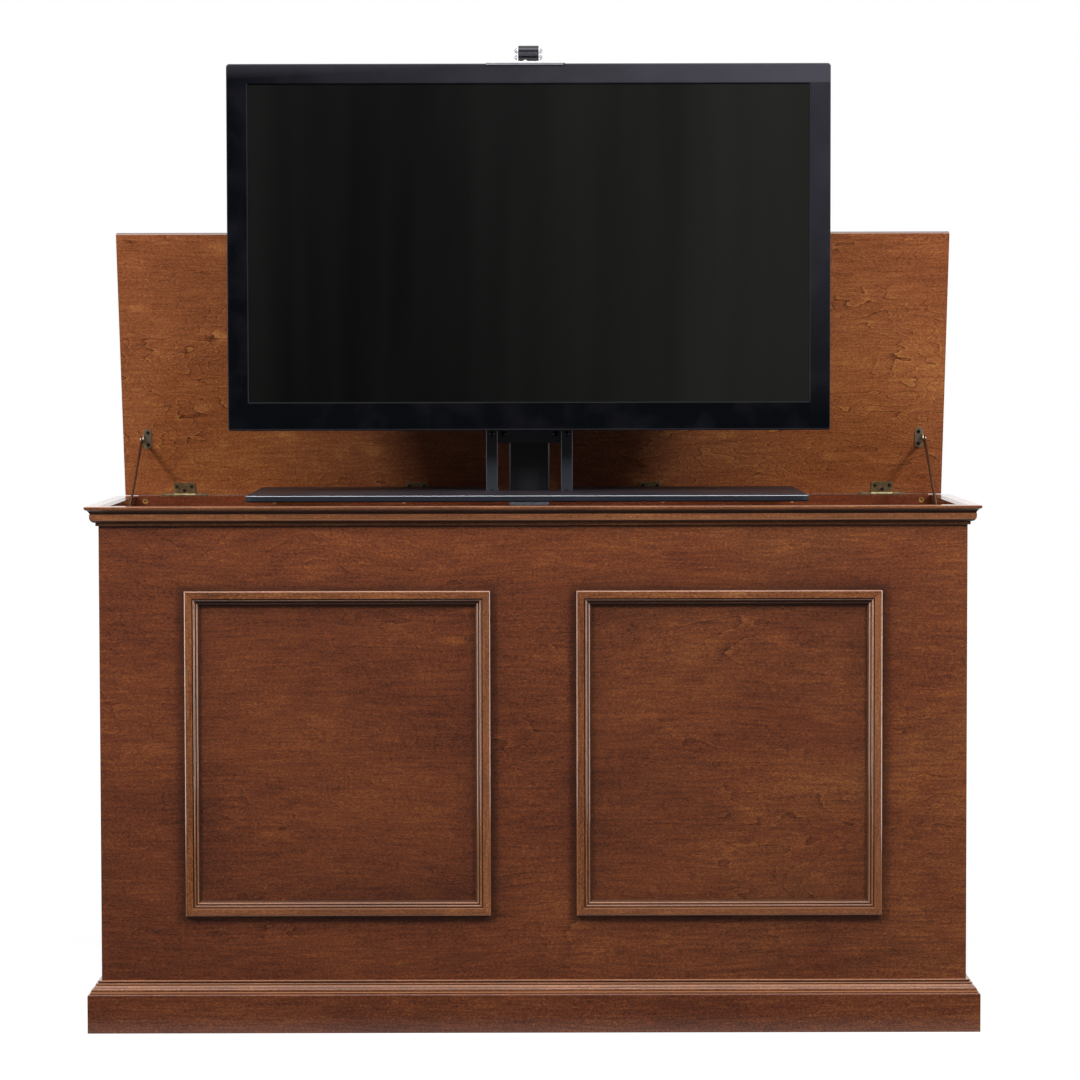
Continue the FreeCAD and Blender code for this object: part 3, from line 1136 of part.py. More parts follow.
# ================================================================ all sub-parts
SUBPARTS = {
    "front_panel": front_panel,
    "side_panel_left": lambda: side_panel(-1),
    "side_panel_right": lambda: side_panel(1),
    "back_panel_upper": back_panel_upper,
    "back_panel_lower": back_panel_lower,
    "back_panel_screws": back_panel_screws,
    "bottom_panel": bottom_panel,
    "rear_top_rail": rear_top_rail,
    "rail_bolts": rail_bolts,
    "corner_blocks": corner_blocks,
    "cornice_front": lambda: cornice("front"),
    "cornice_left": lambda: cornice("left"),
    "cornice_right": lambda: cornice("right"),
    "plinth_front": lambda: plinth("front"),
    "plinth_left": lambda: plinth("left"),
    "plinth_right": lambda: plinth("right"),
    "plinth_back": plinth_back,
    "plinth_centre_rail": plinth_centre_rail,
    "base_cap_front": lambda: base_cap("front"),
    "base_cap_left": lambda: base_cap("left"),
    "base_cap_right": lambda: base_cap("right"),
    "panel_moulding_left": lambda: panel_moulding(-1),
    "panel_moulding_right": lambda: panel_moulding(1),
    "lid_panel": lid_panel,
    "hinge_rail_leaves": hinge_rail_leaves,
    "hinge_lid_leaves": hinge_lid_leaves,
    "hinge_pins": hinge_pins,
    "stay_lid_plates": stay_lid_plates,
    "stay_arm_left": lambda: stay_arm(-1),
    "stay_arm_right": lambda: stay_arm(1),
    "stay_tracks": stay_tracks,
    "lid_screws": lid_screws,
    "rail_screws": rail_screws,
    "lift_base_plate": lift_base_plate,
    "lift_outer_column": lift_outer_column,
    "lift_motor": lift_motor,
    "lift_brace": lift_brace,
    "lift_base_bolts": lift_base_bolts,
    "lift_control_box": lift_control_box,
    "lift_mid_column": lift_mid_column,
    "lift_mid_glide": lift_mid_glide,
    "lift_mast": lift_mast,
    "lift_mast_glide": lift_mast_glide,
    "mast_head": mast_head,
    "upper_crossbar": upper_crossbar,
    "lower_crossbar": lower_crossbar,
    "carriage_bolts": carriage_bolts,
    "tv_rail_left": lambda: tv_rail(-1),
    "tv_rail_right": lambda: tv_rail(1),
    "vesa_plate": vesa_plate,
    "vesa_screws": vesa_screws,
    "tv_shelf": tv_shelf,
    "tv_bezel": tv_bezel,
    "tv_screen": tv_screen,
    "tv_back_cover": tv_back_cover,
    "lid_opener_bracket": lid_opener_bracket,
    "lid_opener_axles": lid_opener_axles,
    "lid_opener_roller_front": lambda: lid_opener_roller(FRONT_ROLLER_Y, FRONT_ROLLER_Z),
    "lid_opener_roller_rear": lambda: lid_opener_roller(REAR_ROLLER_Y, REAR_ROLLER_Z),
}

os.makedirs("parts", exist_ok=True)
for name, make in SUBPARTS.items():
    shape = make()
    shape.exportStep("parts/" + name + ".step")
    span = shape.BoundBox
    print("%-26s %2d solids  valid %s  x %8.1f %8.1f  y %8.1f %8.1f  z %8.1f %8.1f" % (
        name, len(shape.Solids), shape.isValid(), span.XMin, span.XMax, span.YMin, span.YMax,
        span.ZMin, span.ZMax))
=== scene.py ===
"""Finishes, small trim and studio for a TV lift cabinet, in metres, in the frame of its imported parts."""

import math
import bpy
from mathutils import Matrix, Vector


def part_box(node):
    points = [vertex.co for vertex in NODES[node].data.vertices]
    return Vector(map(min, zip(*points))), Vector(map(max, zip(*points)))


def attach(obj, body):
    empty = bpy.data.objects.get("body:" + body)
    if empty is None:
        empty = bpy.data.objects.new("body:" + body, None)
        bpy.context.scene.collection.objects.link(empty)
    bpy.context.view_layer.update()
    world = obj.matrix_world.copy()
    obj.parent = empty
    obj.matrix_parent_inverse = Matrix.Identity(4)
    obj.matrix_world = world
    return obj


bl_info = {
    "name": "TV Lift Cabinet",
    "version": (1, 0, 0),
    "blender": (4, 5, 0),
    "location": "View3D > Sidebar > Cabinet",
    "description": "Finishes a wooden TV lift cabinet and sets up its studio",
    "category": "Object",
}

import bmesh
import bpy
from bpy.props import FloatProperty, FloatVectorProperty, PointerProperty
from mathutils import Matrix, Vector

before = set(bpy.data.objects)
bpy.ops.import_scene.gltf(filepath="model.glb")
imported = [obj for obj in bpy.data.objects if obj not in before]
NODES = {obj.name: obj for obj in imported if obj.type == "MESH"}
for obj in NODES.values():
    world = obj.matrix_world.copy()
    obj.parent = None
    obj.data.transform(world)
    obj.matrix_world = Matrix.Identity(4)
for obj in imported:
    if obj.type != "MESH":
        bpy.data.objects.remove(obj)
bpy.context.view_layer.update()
MM = 0.001
QUARTER = math.pi / 2

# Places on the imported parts
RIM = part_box("front_panel")[1].z
CORNICE_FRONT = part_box("cornice_front")[0].y
CORNICE_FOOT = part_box("cornice_front")[0].z
BASE_CAP_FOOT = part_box("base_cap_front")[0].z
MOULDING_LOW, MOULDING_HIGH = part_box("panel_moulding_right")
TELEVISION_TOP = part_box("tv_bezel")[1].z

# A dark felt strip, laid as shade under the lid's heel, runs along the rear rim, between the hinges
HINGE_HALF = 44.5 * MM
HINGE_GAP = 1 * MM
INNER_HINGE = 227 * MM
STRIP_REACH = 770 * MM
STRIP_INSET = 0.3 * MM


# ---------------------------------------------------------------- colours and nodes
def linear(code):
    """A linear RGBA colour from an sRGB hex code."""
    parts = [int(code[i:i + 2], 16) / 255 for i in (1, 3, 5)]
    return tuple(c / 12.92 if c <= 0.04045 else ((c + 0.055) / 1.055) ** 2.4 for c in parts) + (1.0,)


def feed(node, *values, **named):
    """Gives a node what comes in: plain values at its sockets in use, in order, and named ones by name.

    A socket is linked, a node gives its first output in use, an sRGB code is turned to a colour, and all else
    is set as it is. An underscore in a name stands for a space.
    """
    sockets = [socket for socket in node.inputs if socket.enabled]
    pairs = list(zip(sockets, values)) + [(node.inputs[name.replace("_", " ")], value)
                                          for name, value in named.items()]
    for socket, value in pairs:
        if isinstance(value, bpy.types.Node):
            value = next(output for output in value.outputs if output.enabled)
        if isinstance(value, bpy.types.NodeSocket):
            node.id_data.links.new(value, socket)
        else:
            socket.default_value = linear(value) if isinstance(value, str) else value


def add(tree, kind, *values, **details):
    """Adds a shader node. Details in lower case are its own settings, and the rest goes to its sockets."""
    node = tree.nodes.new("ShaderNode" + kind)
    for name in [name for name in details if name.islower()]:
        setattr(node, name, details.pop(name))
    feed(node, *values, **details)
    return node


def emptied_tree(owner):
    """The node tree of a material or a world, with nothing in it."""
    owner.use_nodes = True
    owner.node_tree.nodes.clear()
    return owner.node_tree


def new_material(name, **values):
    """A new material with one principled shader, and the material's tree and shader."""
    material = bpy.data.materials.new(name)
    tree = emptied_tree(material)
    shader = add(tree, "BsdfPrincipled", **values)
    add(tree, "OutputMaterial", Surface=shader)
    return material, tree, shader


def along(tree, axis):
    """A point's place along one axis of the object."""
    return add(tree, "SeparateXYZ", add(tree, "TexCoord").outputs["Object"]).outputs[axis]


def clouds(tree, place, per_metre, detail=2.0, roughness=0.5):
    """Soft marks, so many of them per metre along X, Y and Z, or in all directions: 100 are 10 mm long."""
    if not isinstance(per_metre, tuple):
        per_metre = (per_metre, per_metre, per_metre)
    spread = add(tree, "Mapping", place, Scale=per_metre)
    return add(tree, "TexNoise", spread, Scale=1.0, Detail=detail, Roughness=roughness, noise_dimensions="3D")


def with_stops(ramp, stops):
    """A colour ramp with its stops, from (place, sRGB code) or (place, number) pairs."""
    elements = ramp.color_ramp.elements
    while len(elements) < len(stops):
        elements.new(0.5)
    for element, (place, code) in zip(elements, stops):
        element.position = place
        element.color = linear(code) if isinstance(code, str) else (code, code, code, 1.0)
    return ramp


def along_profile(tree, value, points):
    """A number that follows a moulding's profile, from (place in millimetres, number) pairs."""
    start, end = points[0][0], points[-1][0]
    stops = [((place - start) / (end - start), number) for place, number in points]
    return with_stops(add(tree, "ValToRGB", add(tree, "MapRange", value, start * MM, end * MM)), stops)


def up_profile(tree, foot, points):
    """A number that follows a profile upwards from its foot, from (height in millimetres, number) pairs."""
    return along_profile(tree, add(tree, "Math", along(tree, "Z"), foot, operation="SUBTRACT"), points)


# ---------------------------------------------------------------- wood
GRAIN_TURN = {"x": (0.0, 0.0, 0.0), "y": (0.0, 0.0, -QUARTER), "z": (0.0, QUARTER, 0.0)}
TONE_PLACES = (0.12, 0.40, 0.58, 0.90)
CASE_TONES = ("#2c1108", "#562a17", "#703a1f", "#965a2c")
PLINTH_TONES = ("#2a1008", "#542814", "#703a1f", "#96602f")
MOULDING_TONES = ("#381a0c", "#643619", "#804a28", "#ae7844")
# The lid's tones are a lighter copy of the case's stain: painted light on its inner face.
LID_LIT_TONES = ("#4d2411", "#864a28", "#a05d34", "#c98a4a")
RAIL_TONES = ("#40180c", "#632c16", "#78391e", "#96562e")
# Bluish dark colour of the painted shadow and shade on the lid.
LID_SHADOW_COLOUR = "#2c2030"
# Painted sheen on the front's right half: the stain gives back more red, green and blue, and most green, which
# makes it lighter and yellower.
SHEEN_GAIN = (1.6, 2.1, 1.9, 1.0)


def beside_and_above_frame(tree):
    """How far a point lies beside, and above or below, the outline of the nearer panel moulding."""
    across = add(tree, "Math", along(tree, "X"), operation="ABSOLUTE")
    distances = []
    for value, start, end in ((across, MOULDING_LOW.x, MOULDING_HIGH.x),
                              (along(tree, "Z"), MOULDING_LOW.z, MOULDING_HIGH.z)):
        from_centre = add(tree, "Math", value, (start + end) / 2, operation="SUBTRACT")
        from_centre = add(tree, "Math", from_centre, operation="ABSOLUTE")
        distances.append(add(tree, "Math", from_centre, (end - start) / 2, operation="SUBTRACT"))
    return distances


def within_frame(tree):
    """How far inwards on a panel moulding a point lies, and if it is on a level length, and on the top one."""
    beside, above = beside_and_above_frame(tree)
    outwards = add(tree, "Math", beside, above, operation="MAXIMUM")
    inwards = add(tree, "Math", outwards, -1.0, operation="MULTIPLY")
    level = add(tree, "Math", above, beside, operation="GREATER_THAN")
    middle = (MOULDING_LOW.z + MOULDING_HIGH.z) / 2
    upper = add(tree, "Math", along(tree, "Z"), middle, operation="GREATER_THAN")
    return inwards, level, add(tree, "Math", level, upper, operation="MULTIPLY")


def turned_to_grain(tree, grain, seed):
    """Object coordinates with the grain along X, also in the mitred lengths of a frame."""
    place = add(tree, "TexCoord").outputs["Object"]
    shift = (0.73 * seed, 0.41 * seed, 0.29 * seed)

    def turned(axis):
        return add(tree, "Mapping", place, Location=shift, Rotation=GRAIN_TURN[axis])
    if grain != "frame":
        return turned(grain)
    beside, above = beside_and_above_frame(tree)
    upright = add(tree, "Math", beside, above, operation="GREATER_THAN")
    return add(tree, "Mix", upright, turned("x"), turned("z"), data_type="VECTOR")


def growth_rings(tree, place, pitch):
    """Contour lines of a rotary-cut face: drawn-out loops with teeth, each a dark line by a light one."""
    teeth = clouds(tree, place, (20.0, 220.0, 220.0), 3.0)
    teeth = add(tree, "Math", teeth, 0.5, operation="SUBTRACT")
    teeth = add(tree, "Math", teeth, 24 * MM, operation="MULTIPLY")
    place = add(tree, "VectorMath", place, add(tree, "CombineXYZ", teeth), operation="ADD")
    hills = clouds(tree, place, (3.6, 8.5, 8.5), 3.0, 0.42)
    hills = add(tree, "Math", hills, 300 * MM, operation="MULTIPLY")
    slope = add(tree, "Math", add(tree, "SeparateXYZ", place).outputs["Z"], 0.35, operation="MULTIPLY")
    height = add(tree, "Math", slope, hills, operation="ADD")
    turns = add(tree, "Math", add(tree, "Math", height, pitch, operation="DIVIDE"), operation="FRACT")
    back = add(tree, "Math", 1.0, turns, operation="SUBTRACT")
    dark_line = add(tree, "Math", turns, 14.0, operation="POWER")
    light_line = add(tree, "Math", back, 12.0, operation="POWER")
    return dark_line, light_line


def stained_birch(name, grain, tones, seed, figure=0.5, gloss=0.3, relief=0.05, haze=0.13, build=1.5,
                  ring_pitch=20 * MM, patches=(0.45, 0.62), fleck=0.12, painted_sheen=None, shade_and_toner=None, painted_highlight=None):
    """Rotary-cut birch, stained red-brown and sprayed with satin lacquer.

    It shows as soft mottling, short dark streaks along the grain, contour lines of growth rings in patches,
    and a low clear sheen. Three optional functions give how much of a painted sheen, of toner and painted
    shade, and of a painted highlight lies where, the last two with their colour: the painted sheen makes the
    stain lighter and yellower, toner and painted shade darken it and dull the lacquer, as round a moulding,
    and a painted highlight lightens an arris.
    """
    material, tree, shader = new_material(name, Specular_IOR_Level=0.2, Coat_Weight=gloss,
                                          Coat_Roughness=haze, Coat_IOR=build)
    place = turned_to_grain(tree, grain, seed)
    sway = clouds(tree, place, (1.6, 5.0, 5.0)).outputs["Color"]
    sway = add(tree, "VectorMath", sway, (0.5, 0.5, 0.5), operation="SUBTRACT")
    place = add(tree, "VectorMath", sway, (0.0, 50 * MM, 50 * MM), place, operation="MULTIPLY_ADD")
    broad = clouds(tree, place, (2.2, 4.2, 4.2), 3.0)
    mottle = clouds(tree, place, (10.0, 26.0, 26.0), 4.0, 0.62)
    # Vessels and pores of birch are 0.1 mm wide and too fine to show: they are drawn 4 mm and 2 mm wide.
    streak = clouds(tree, place, (14.0, 230.0, 230.0), 4.0, 0.62)
    pores = clouds(tree, place, (230.0, 470.0, 470.0), 3.0, 0.6)
    dark_line, light_line = growth_rings(tree, place, ring_pitch)
    patch = add(tree, "MapRange", clouds(tree, place, (3.0, 6.5, 6.5), 1.0), *patches)
    flecks = add(tree, "MapRange", clouds(tree, place, (13.0, 24.0, 24.0)), 0.62, 0.80)
    tone = 0.5
    for part, weight in ((broad, 0.45), (mottle, 0.20), (streak, 0.52), (pores, 0.95)):
        part = add(tree, "Math", part, 0.5, operation="SUBTRACT")
        part = add(tree, "Math", part, weight, operation="MULTIPLY")
        tone = add(tree, "Math", tone, part, operation="ADD")
    for part, weight in ((dark_line, -0.42 * figure), (light_line, 0.24 * figure)):
        part = add(tree, "Math", part, patch, operation="MULTIPLY")
        part = add(tree, "Math", part, weight, operation="MULTIPLY")
        tone = add(tree, "Math", tone, part, operation="ADD")
    tone = add(tree, "Math", tone, add(tree, "Math", flecks, fleck, operation="MULTIPLY"), operation="ADD")
    colour = with_stops(add(tree, "ValToRGB", tone), list(zip(TONE_PLACES, tones)))
    # Painted sheen: a lighter, yellower stain where its mask says.
    if painted_sheen is not None:
        colour = add(tree, "Mix", painted_sheen(tree), colour, SHEEN_GAIN, data_type="RGBA", blend_type="MULTIPLY")
    # Toner and painted shade: a darker colour and a duller lacquer where their mask says.
    if shade_and_toner is not None:
        shade_and_toner_mask = shade_and_toner[0](tree)
        colour = add(tree, "Mix", shade_and_toner_mask, colour, shade_and_toner[1], data_type="RGBA")
        feed(shader, Coat_Weight=add(tree, "MapRange", shade_and_toner_mask, 0.3, 0.9, gloss, 0.25 * gloss))
    # Painted highlight: a lighter colour where its mask says.
    if painted_highlight is not None:
        colour = add(tree, "Mix", painted_highlight[0](tree), colour, painted_highlight[1], data_type="RGBA")
    relief_height = add(tree, "Math", streak, pores, operation="ADD")
    feed(shader, Base_Color=colour, Roughness=add(tree, "MapRange", streak, 0.3, 0.7, 0.52, 0.40),
         Normal=add(tree, "Bump", Height=relief_height, Strength=relief, Distance=0.2 * MM))
    return material


def toner_and_shade_round_frames(tree):
    """Dark toner and painted shade round both panel mouldings and inside the frames, and a painted shadow under
    the cornice.
    """
    outside = add(tree, "Math", *beside_and_above_frame(tree), operation="MAXIMUM")
    # Toner and painted shade by each moulding's edges, darkest just outside it.
    round_frame = along_profile(tree, outside, ((-70, 0.08), (-27, 0.30), (-26, 0.65), (1, 0.65), (9, 0.36),
                                                (18, 0.08), (40, 0.0)))
    mist = clouds(tree, add(tree, "TexCoord").outputs["Object"], 5.0, 3.0)
    patchy = add(tree, "MapRange", mist, 0.3, 0.6, 0.6, 1.0)
    round_frame = add(tree, "Math", round_frame, patchy, operation="MULTIPLY")
    # Painted shadow of the cornice along the top of the front.
    shadow_under_cornice = add(tree, "MapRange", along(tree, "Z"), CORNICE_FOOT - 9 * MM, CORNICE_FOOT, 0.0, 0.6)
    return add(tree, "Math", round_frame, shadow_under_cornice, operation="MAXIMUM")


def sheen_on_right_half(tree):
    """Painted sheen on the front's right half: lighter and yellower in patches."""
    mist = clouds(tree, add(tree, "TexCoord").outputs["Object"], (4.0, 6.0, 7.0), 3.0)
    patches = add(tree, "MapRange", mist, 0.40, 0.66, 0.0, 0.40)
    to_right = add(tree, "MapRange", along(tree, "X"), -150 * MM, 550 * MM, 0.0, 1.0)
    return add(tree, "Math", patches, to_right, operation="MULTIPLY")


def painted_shadow_on_lid(tree):
    """Painted shadow on the lid's inner face, low in the middle, behind the lift, and painted shade along its far
    edge.
    """
    from_middle = add(tree, "Math", along(tree, "X"), operation="ABSOLUTE")
    middle = add(tree, "MapRange", from_middle, 80 * MM, 500 * MM, 0.45, 0.0)
    foot = add(tree, "MapRange", along(tree, "Z"), RIM + 120 * MM, RIM + 170 * MM, 1.0, 0.0)
    low = add(tree, "Math", middle, foot, operation="MULTIPLY")
    facing = add(tree, "SeparateXYZ", add(tree, "TexCoord").outputs["Normal"]).outputs["Y"]
    inner_face = add(tree, "Math", facing, 0.0, operation="LESS_THAN")
    low = add(tree, "Math", low, inner_face, operation="MULTIPLY")
    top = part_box("lid_panel")[1].z
    # Painted shade along the far edge, where the lacquer is dulled too.
    far_edge = add(tree, "MapRange", along(tree, "Z"), top - 4 * MM, top, 0.0, 0.9)
    return add(tree, "Math", low, far_edge, operation="MAXIMUM")


def painted_shade_in_frame(tree):
    """Painted shade in a panel moulding's grooves, from its outer edge inwards, and under its top length."""
    inwards, _, in_top = within_frame(tree)
    # Painted shade under the top length, where its inner beads face down.
    under = add(tree, "MapRange", inwards, 13.9 * MM, 14.5 * MM, 0.0, 0.82)
    under = add(tree, "Math", in_top, under, operation="MULTIPLY")
    grooves = along_profile(tree, inwards, ((0.0, 0.35), (1.5, 0.0), (13.9, 0.0), (14.5, 0.85), (16.0, 0.60),
                                            (16.6, 0.0), (19.6, 0.0), (20.1, 0.90), (21.2, 0.70), (21.8, 0.0),
                                            (24.5, 0.05), (25.2, 0.80), (27.6, 0.80)))
    return add(tree, "Math", grooves, under, operation="MAXIMUM")


def painted_highlights_on_frame(tree):
    """Painted highlights on a panel moulding's arrises, and its right and bottom lengths painted lighter."""
    inwards, level, in_top = within_frame(tree)
    arrises = along_profile(tree, inwards, ((0.0, 0.05), (1.0, 0.22), (2.2, 0.15), (3.2, 0.0), (16.0, 0.0),
                                            (16.8, 0.25), (18.2, 0.20), (18.8, 0.0), (21.4, 0.0), (22.0, 0.42),
                                            (23.6, 0.38), (24.2, 0.0), (27.6, 0.0)))
    # Under the top length's step the arrises lie in shade and get no painted highlight.
    stepped = add(tree, "Math", inwards, 10 * MM, operation="GREATER_THAN")
    shaded = add(tree, "Math", in_top, stepped, operation="MULTIPLY")
    lit = add(tree, "Math", 1.0, shaded, operation="SUBTRACT")
    arrises = add(tree, "Math", arrises, lit, operation="MULTIPLY")

    across = along(tree, "X")
    outer = add(tree, "Math", add(tree, "Math", across, operation="ABSOLUTE"),
                (MOULDING_LOW.x + MOULDING_HIGH.x) / 2, operation="SUBTRACT")
    right = add(tree, "Math", outer, add(tree, "Math", across, operation="SIGN"), operation="MULTIPLY")
    in_right = add(tree, "Math", add(tree, "Math", 1.0, level, operation="SUBTRACT"),
                   add(tree, "Math", right, 0.0, operation="GREATER_THAN"), operation="MULTIPLY")
    # The right lengths are painted a little lighter.
    side = add(tree, "Math", in_right, 0.09, operation="MULTIPLY")

    # A painted highlight along the bottom length's inner arris.
    in_foot = add(tree, "Math", level, in_top, operation="SUBTRACT")
    foot = along_profile(tree, inwards, ((0.0, 0.09), (12.6, 0.09), (13.4, 0.60), (14.6, 0.50), (15.2, 0.09),
                                         (27.6, 0.09)))
    foot = add(tree, "Math", in_foot, foot, operation="MULTIPLY")
    return add(tree, "Math", arrises, add(tree, "Math", side, foot, operation="MAXIMUM"), operation="MAXIMUM")


def painted_shade_in_cornice(tree):
    """Painted shade in the cornice's cove and under its belly."""
    return up_profile(tree, CORNICE_FOOT, ((0.0, 0.60), (2.2, 0.50), (3.4, 0.25), (5.6, 0.25), (6.0, 0.85),
                                           (9.0, 0.80), (9.8, 0.05), (21.0, 0.0), (21.2, 0.90), (26.4, 0.88),
                                           (28.0, 0.60), (28.4, 0.0), (35.5, 0.0)))


def painted_highlights_on_cornice(tree):
    """Painted highlights on the cornice's nose and belly."""
    return up_profile(tree, CORNICE_FOOT, ((0.0, 0.0), (9.4, 0.0), (10.2, 0.45), (11.6, 0.50), (13.0, 0.12),
                                           (18.0, 0.06), (20.0, 0.10), (20.8, 0.20), (21.1, 0.0), (28.6, 0.0),
                                           (29.2, 0.25), (31.6, 0.15), (33.0, 0.0), (34.4, 0.0), (35.2, 0.30),
                                           (35.5, 0.30)))


def painted_shade_in_base_cap(tree):
    """Painted shade in the base cap's grooves."""
    return up_profile(tree, BASE_CAP_FOOT, ((0.0, 0.0), (3.0, 0.0), (3.5, 0.5), (4.6, 0.3), (5.6, 0.0),
                                            (13.6, 0.0), (14.5, 0.6), (15.4, 0.4), (16.4, 0.0), (18.4, 0.05),
                                            (18.8, 0.6), (19.8, 0.4), (20.8, 0.0), (23.4, 0.0)))


def painted_highlights_on_base_cap(tree):
    """Painted highlights on the base cap's arrises and beads."""
    return up_profile(tree, BASE_CAP_FOOT, ((0.0, 0.0), (1.6, 0.0), (2.2, 0.90), (3.4, 0.80), (3.9, 0.0),
                                            (12.8, 0.0), (13.4, 0.95), (14.4, 0.85), (14.6, 0.0), (16.0, 0.0),
                                            (16.6, 0.75), (17.8, 0.0), (21.4, 0.0), (22.0, 0.30), (23.4, 0.10)))


# ---------------------------------------------------------------- metals, plastics and rubber
def antique_brass(name, bright, dark, smooth=0.28, dull=0.50, metallic=1.0):
    """Rolled brass with a brushed antique finish: warm, uneven and darker where it was handled."""
    material, tree, shader = new_material(name, Metallic=metallic)
    place = add(tree, "TexCoord").outputs["Object"]
    handled = clouds(tree, place, 120.0, 4.0, 0.6)
    # Brushing lines of under 0.1 mm are too fine to show: they are drawn 0.5 mm wide.
    brushed = clouds(tree, place, (60.0, 2200.0, 2200.0))
    feed(shader, Base_Color=with_stops(add(tree, "ValToRGB", handled), ((0.35, dark), (0.62, bright))),
         Roughness=add(tree, "MapRange", handled, 0.3, 0.7, dull, smooth),
         Normal=add(tree, "Bump", Height=brushed, Strength=0.12, Distance=0.1 * MM))
    return material


def powder_coat(name, colour, roughness=0.42):
    """Powder-coated steel: a fine orange-peel skin, 1.5 mm from dent to dent, with a soft sheen."""
    material, tree, shader = new_material(name, Roughness=roughness, Specular_IOR_Level=0.5)
    place = add(tree, "TexCoord").outputs["Object"]
    peel = clouds(tree, place, 700.0)
    uneven = add(tree, "MapRange", clouds(tree, place, 9.0), 0.35, 0.65, 0.0, 0.25)
    feed(shader, Base_Color=add(tree, "Mix", uneven, colour, "#b8b8be", data_type="RGBA", blend_type="MULTIPLY"),
         Normal=add(tree, "Bump", Height=peel, Strength=0.10, Distance=0.15 * MM))
    return material


def moulded_plastic(name, colour, roughness, per_metre=900.0, depth=0.15):
    """Injection-moulded plastic with a spark-eroded texture: matt, without clear highlights."""
    material, tree, shader = new_material(name, Roughness=roughness)
    # A real texture of 0.2 mm grains is too fine to show: the grains are drawn 1 or 2 mm wide.
    grain = clouds(tree, add(tree, "TexCoord").outputs["Object"], per_metre, roughness=0.6)
    wear_and_shade = add(tree, "MapRange", grain, 0.35, 0.7, 0.0, 0.3)
    feed(shader, Base_Color=add(tree, "Mix", wear_and_shade, colour, "#808084", data_type="RGBA", blend_type="MULTIPLY"),
         Normal=add(tree, "Bump", Height=grain, Strength=depth, Distance=0.2 * MM))
    return material


def piano_black(name, dark, light, roughness):
    """High-gloss moulded ABS: blue-black and mirror-like, with painted reflections that lighten its top and right
    strips and its foot.
    """
    material, tree, shader = new_material(name, Specular_IOR_Level=0.22)
    low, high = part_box("tv_bezel")
    # Painted reflection: lighter over the top strip, more to the right, over the right strip's upper part, and
    # along the foot.
    across, height = along(tree, "X"), along(tree, "Z")
    to_right = add(tree, "MapRange", across, low.x, high.x)
    to_top = add(tree, "MapRange", height, high.z - 30 * MM, high.z, 0.0, 0.50)
    top = add(tree, "Math", add(tree, "MapRange", height, high.z - 38 * MM, high.z - 34 * MM),
              add(tree, "Math", to_right, to_top, operation="MAXIMUM"), operation="MULTIPLY")
    middle = low.z + 0.62 * (high.z - low.z)
    right = add(tree, "Math", add(tree, "MapRange", across, high.x - 40 * MM, high.x - 36 * MM, 0.0, 0.36),
                add(tree, "MapRange", height, low.z + 20 * MM, middle), operation="MULTIPLY")
    foot = add(tree, "MapRange", height, low.z + 4 * MM, low.z + 2 * MM, 0.0, 0.45)
    haze = add(tree, "Math", add(tree, "Math", top, right, operation="MAXIMUM"), foot, operation="MAXIMUM")
    smears = clouds(tree, add(tree, "TexCoord").outputs["Object"], 14.0, 3.0)
    haze = add(tree, "Math", haze, add(tree, "MapRange", smears, 0.45, 0.7, 0.0, 0.10), operation="ADD")
    feed(shader, Base_Color=with_stops(add(tree, "ValToRGB", haze), ((0.0, dark), (1.0, light))),
         Roughness=add(tree, "MapRange", smears, 0.3, 0.7, roughness, roughness + 0.06))
    return material


def anti_glare_screen(name):
    """A switched-off display behind an etched film: dark grey, with faint upright streaks and a painted reflection
    that lightens it towards the right.
    """
    material, tree, shader = new_material(name, Roughness=0.42, Specular_IOR_Level=0.06)
    place = add(tree, "TexCoord").outputs["Object"]
    low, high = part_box("tv_screen")
    streaks = clouds(tree, place, (5.0, 1.0, 0.35), 3.0, 0.55)
    # Painted reflection: lighter towards the right.
    lighter = add(tree, "MapRange", along(tree, "X"), low.x, high.x, -0.26, 0.24)
    grey = add(tree, "Math", streaks, lighter, operation="ADD")
    # The etching's pits of 0.02 mm are too fine to show: they are drawn 0.6 mm wide.
    etching = clouds(tree, place, 1600.0, 1.0)
    feed(shader, Base_Color=with_stops(add(tree, "ValToRGB", grey), ((0.20, "#030303"), (0.85, "#1a1a19"))),
         Normal=add(tree, "Bump", Height=etching, Strength=0.05, Distance=0.05 * MM))
    return material


def satin_aluminium(name, sheet, lip):
    """Anodised aluminium sheet, brushed along its width: near white on top, and its folded lip painted greyer as
    painted shade.
    """
    material, tree, shader = new_material(name, Metallic=0.35, Roughness=0.34)
    # Brushing lines of 0.05 mm are too fine to show: they are drawn 0.6 mm wide.
    brushed = clouds(tree, add(tree, "TexCoord").outputs["Object"], (40.0, 1800.0, 1800.0), 3.0)
    bright = with_stops(add(tree, "ValToRGB", brushed), ((0.3, sheet), (0.7, "#fafafc")))
    # The folded lip gets its darker colour as painted shade.
    folded = add(tree, "Math", along(tree, "Z"), TELEVISION_TOP + 1 * MM, operation="LESS_THAN")
    feed(shader, Base_Color=add(tree, "Mix", folded, bright, lip, data_type="RGBA"),
         Normal=add(tree, "Bump", Height=brushed, Strength=0.08, Distance=0.08 * MM))
    return material


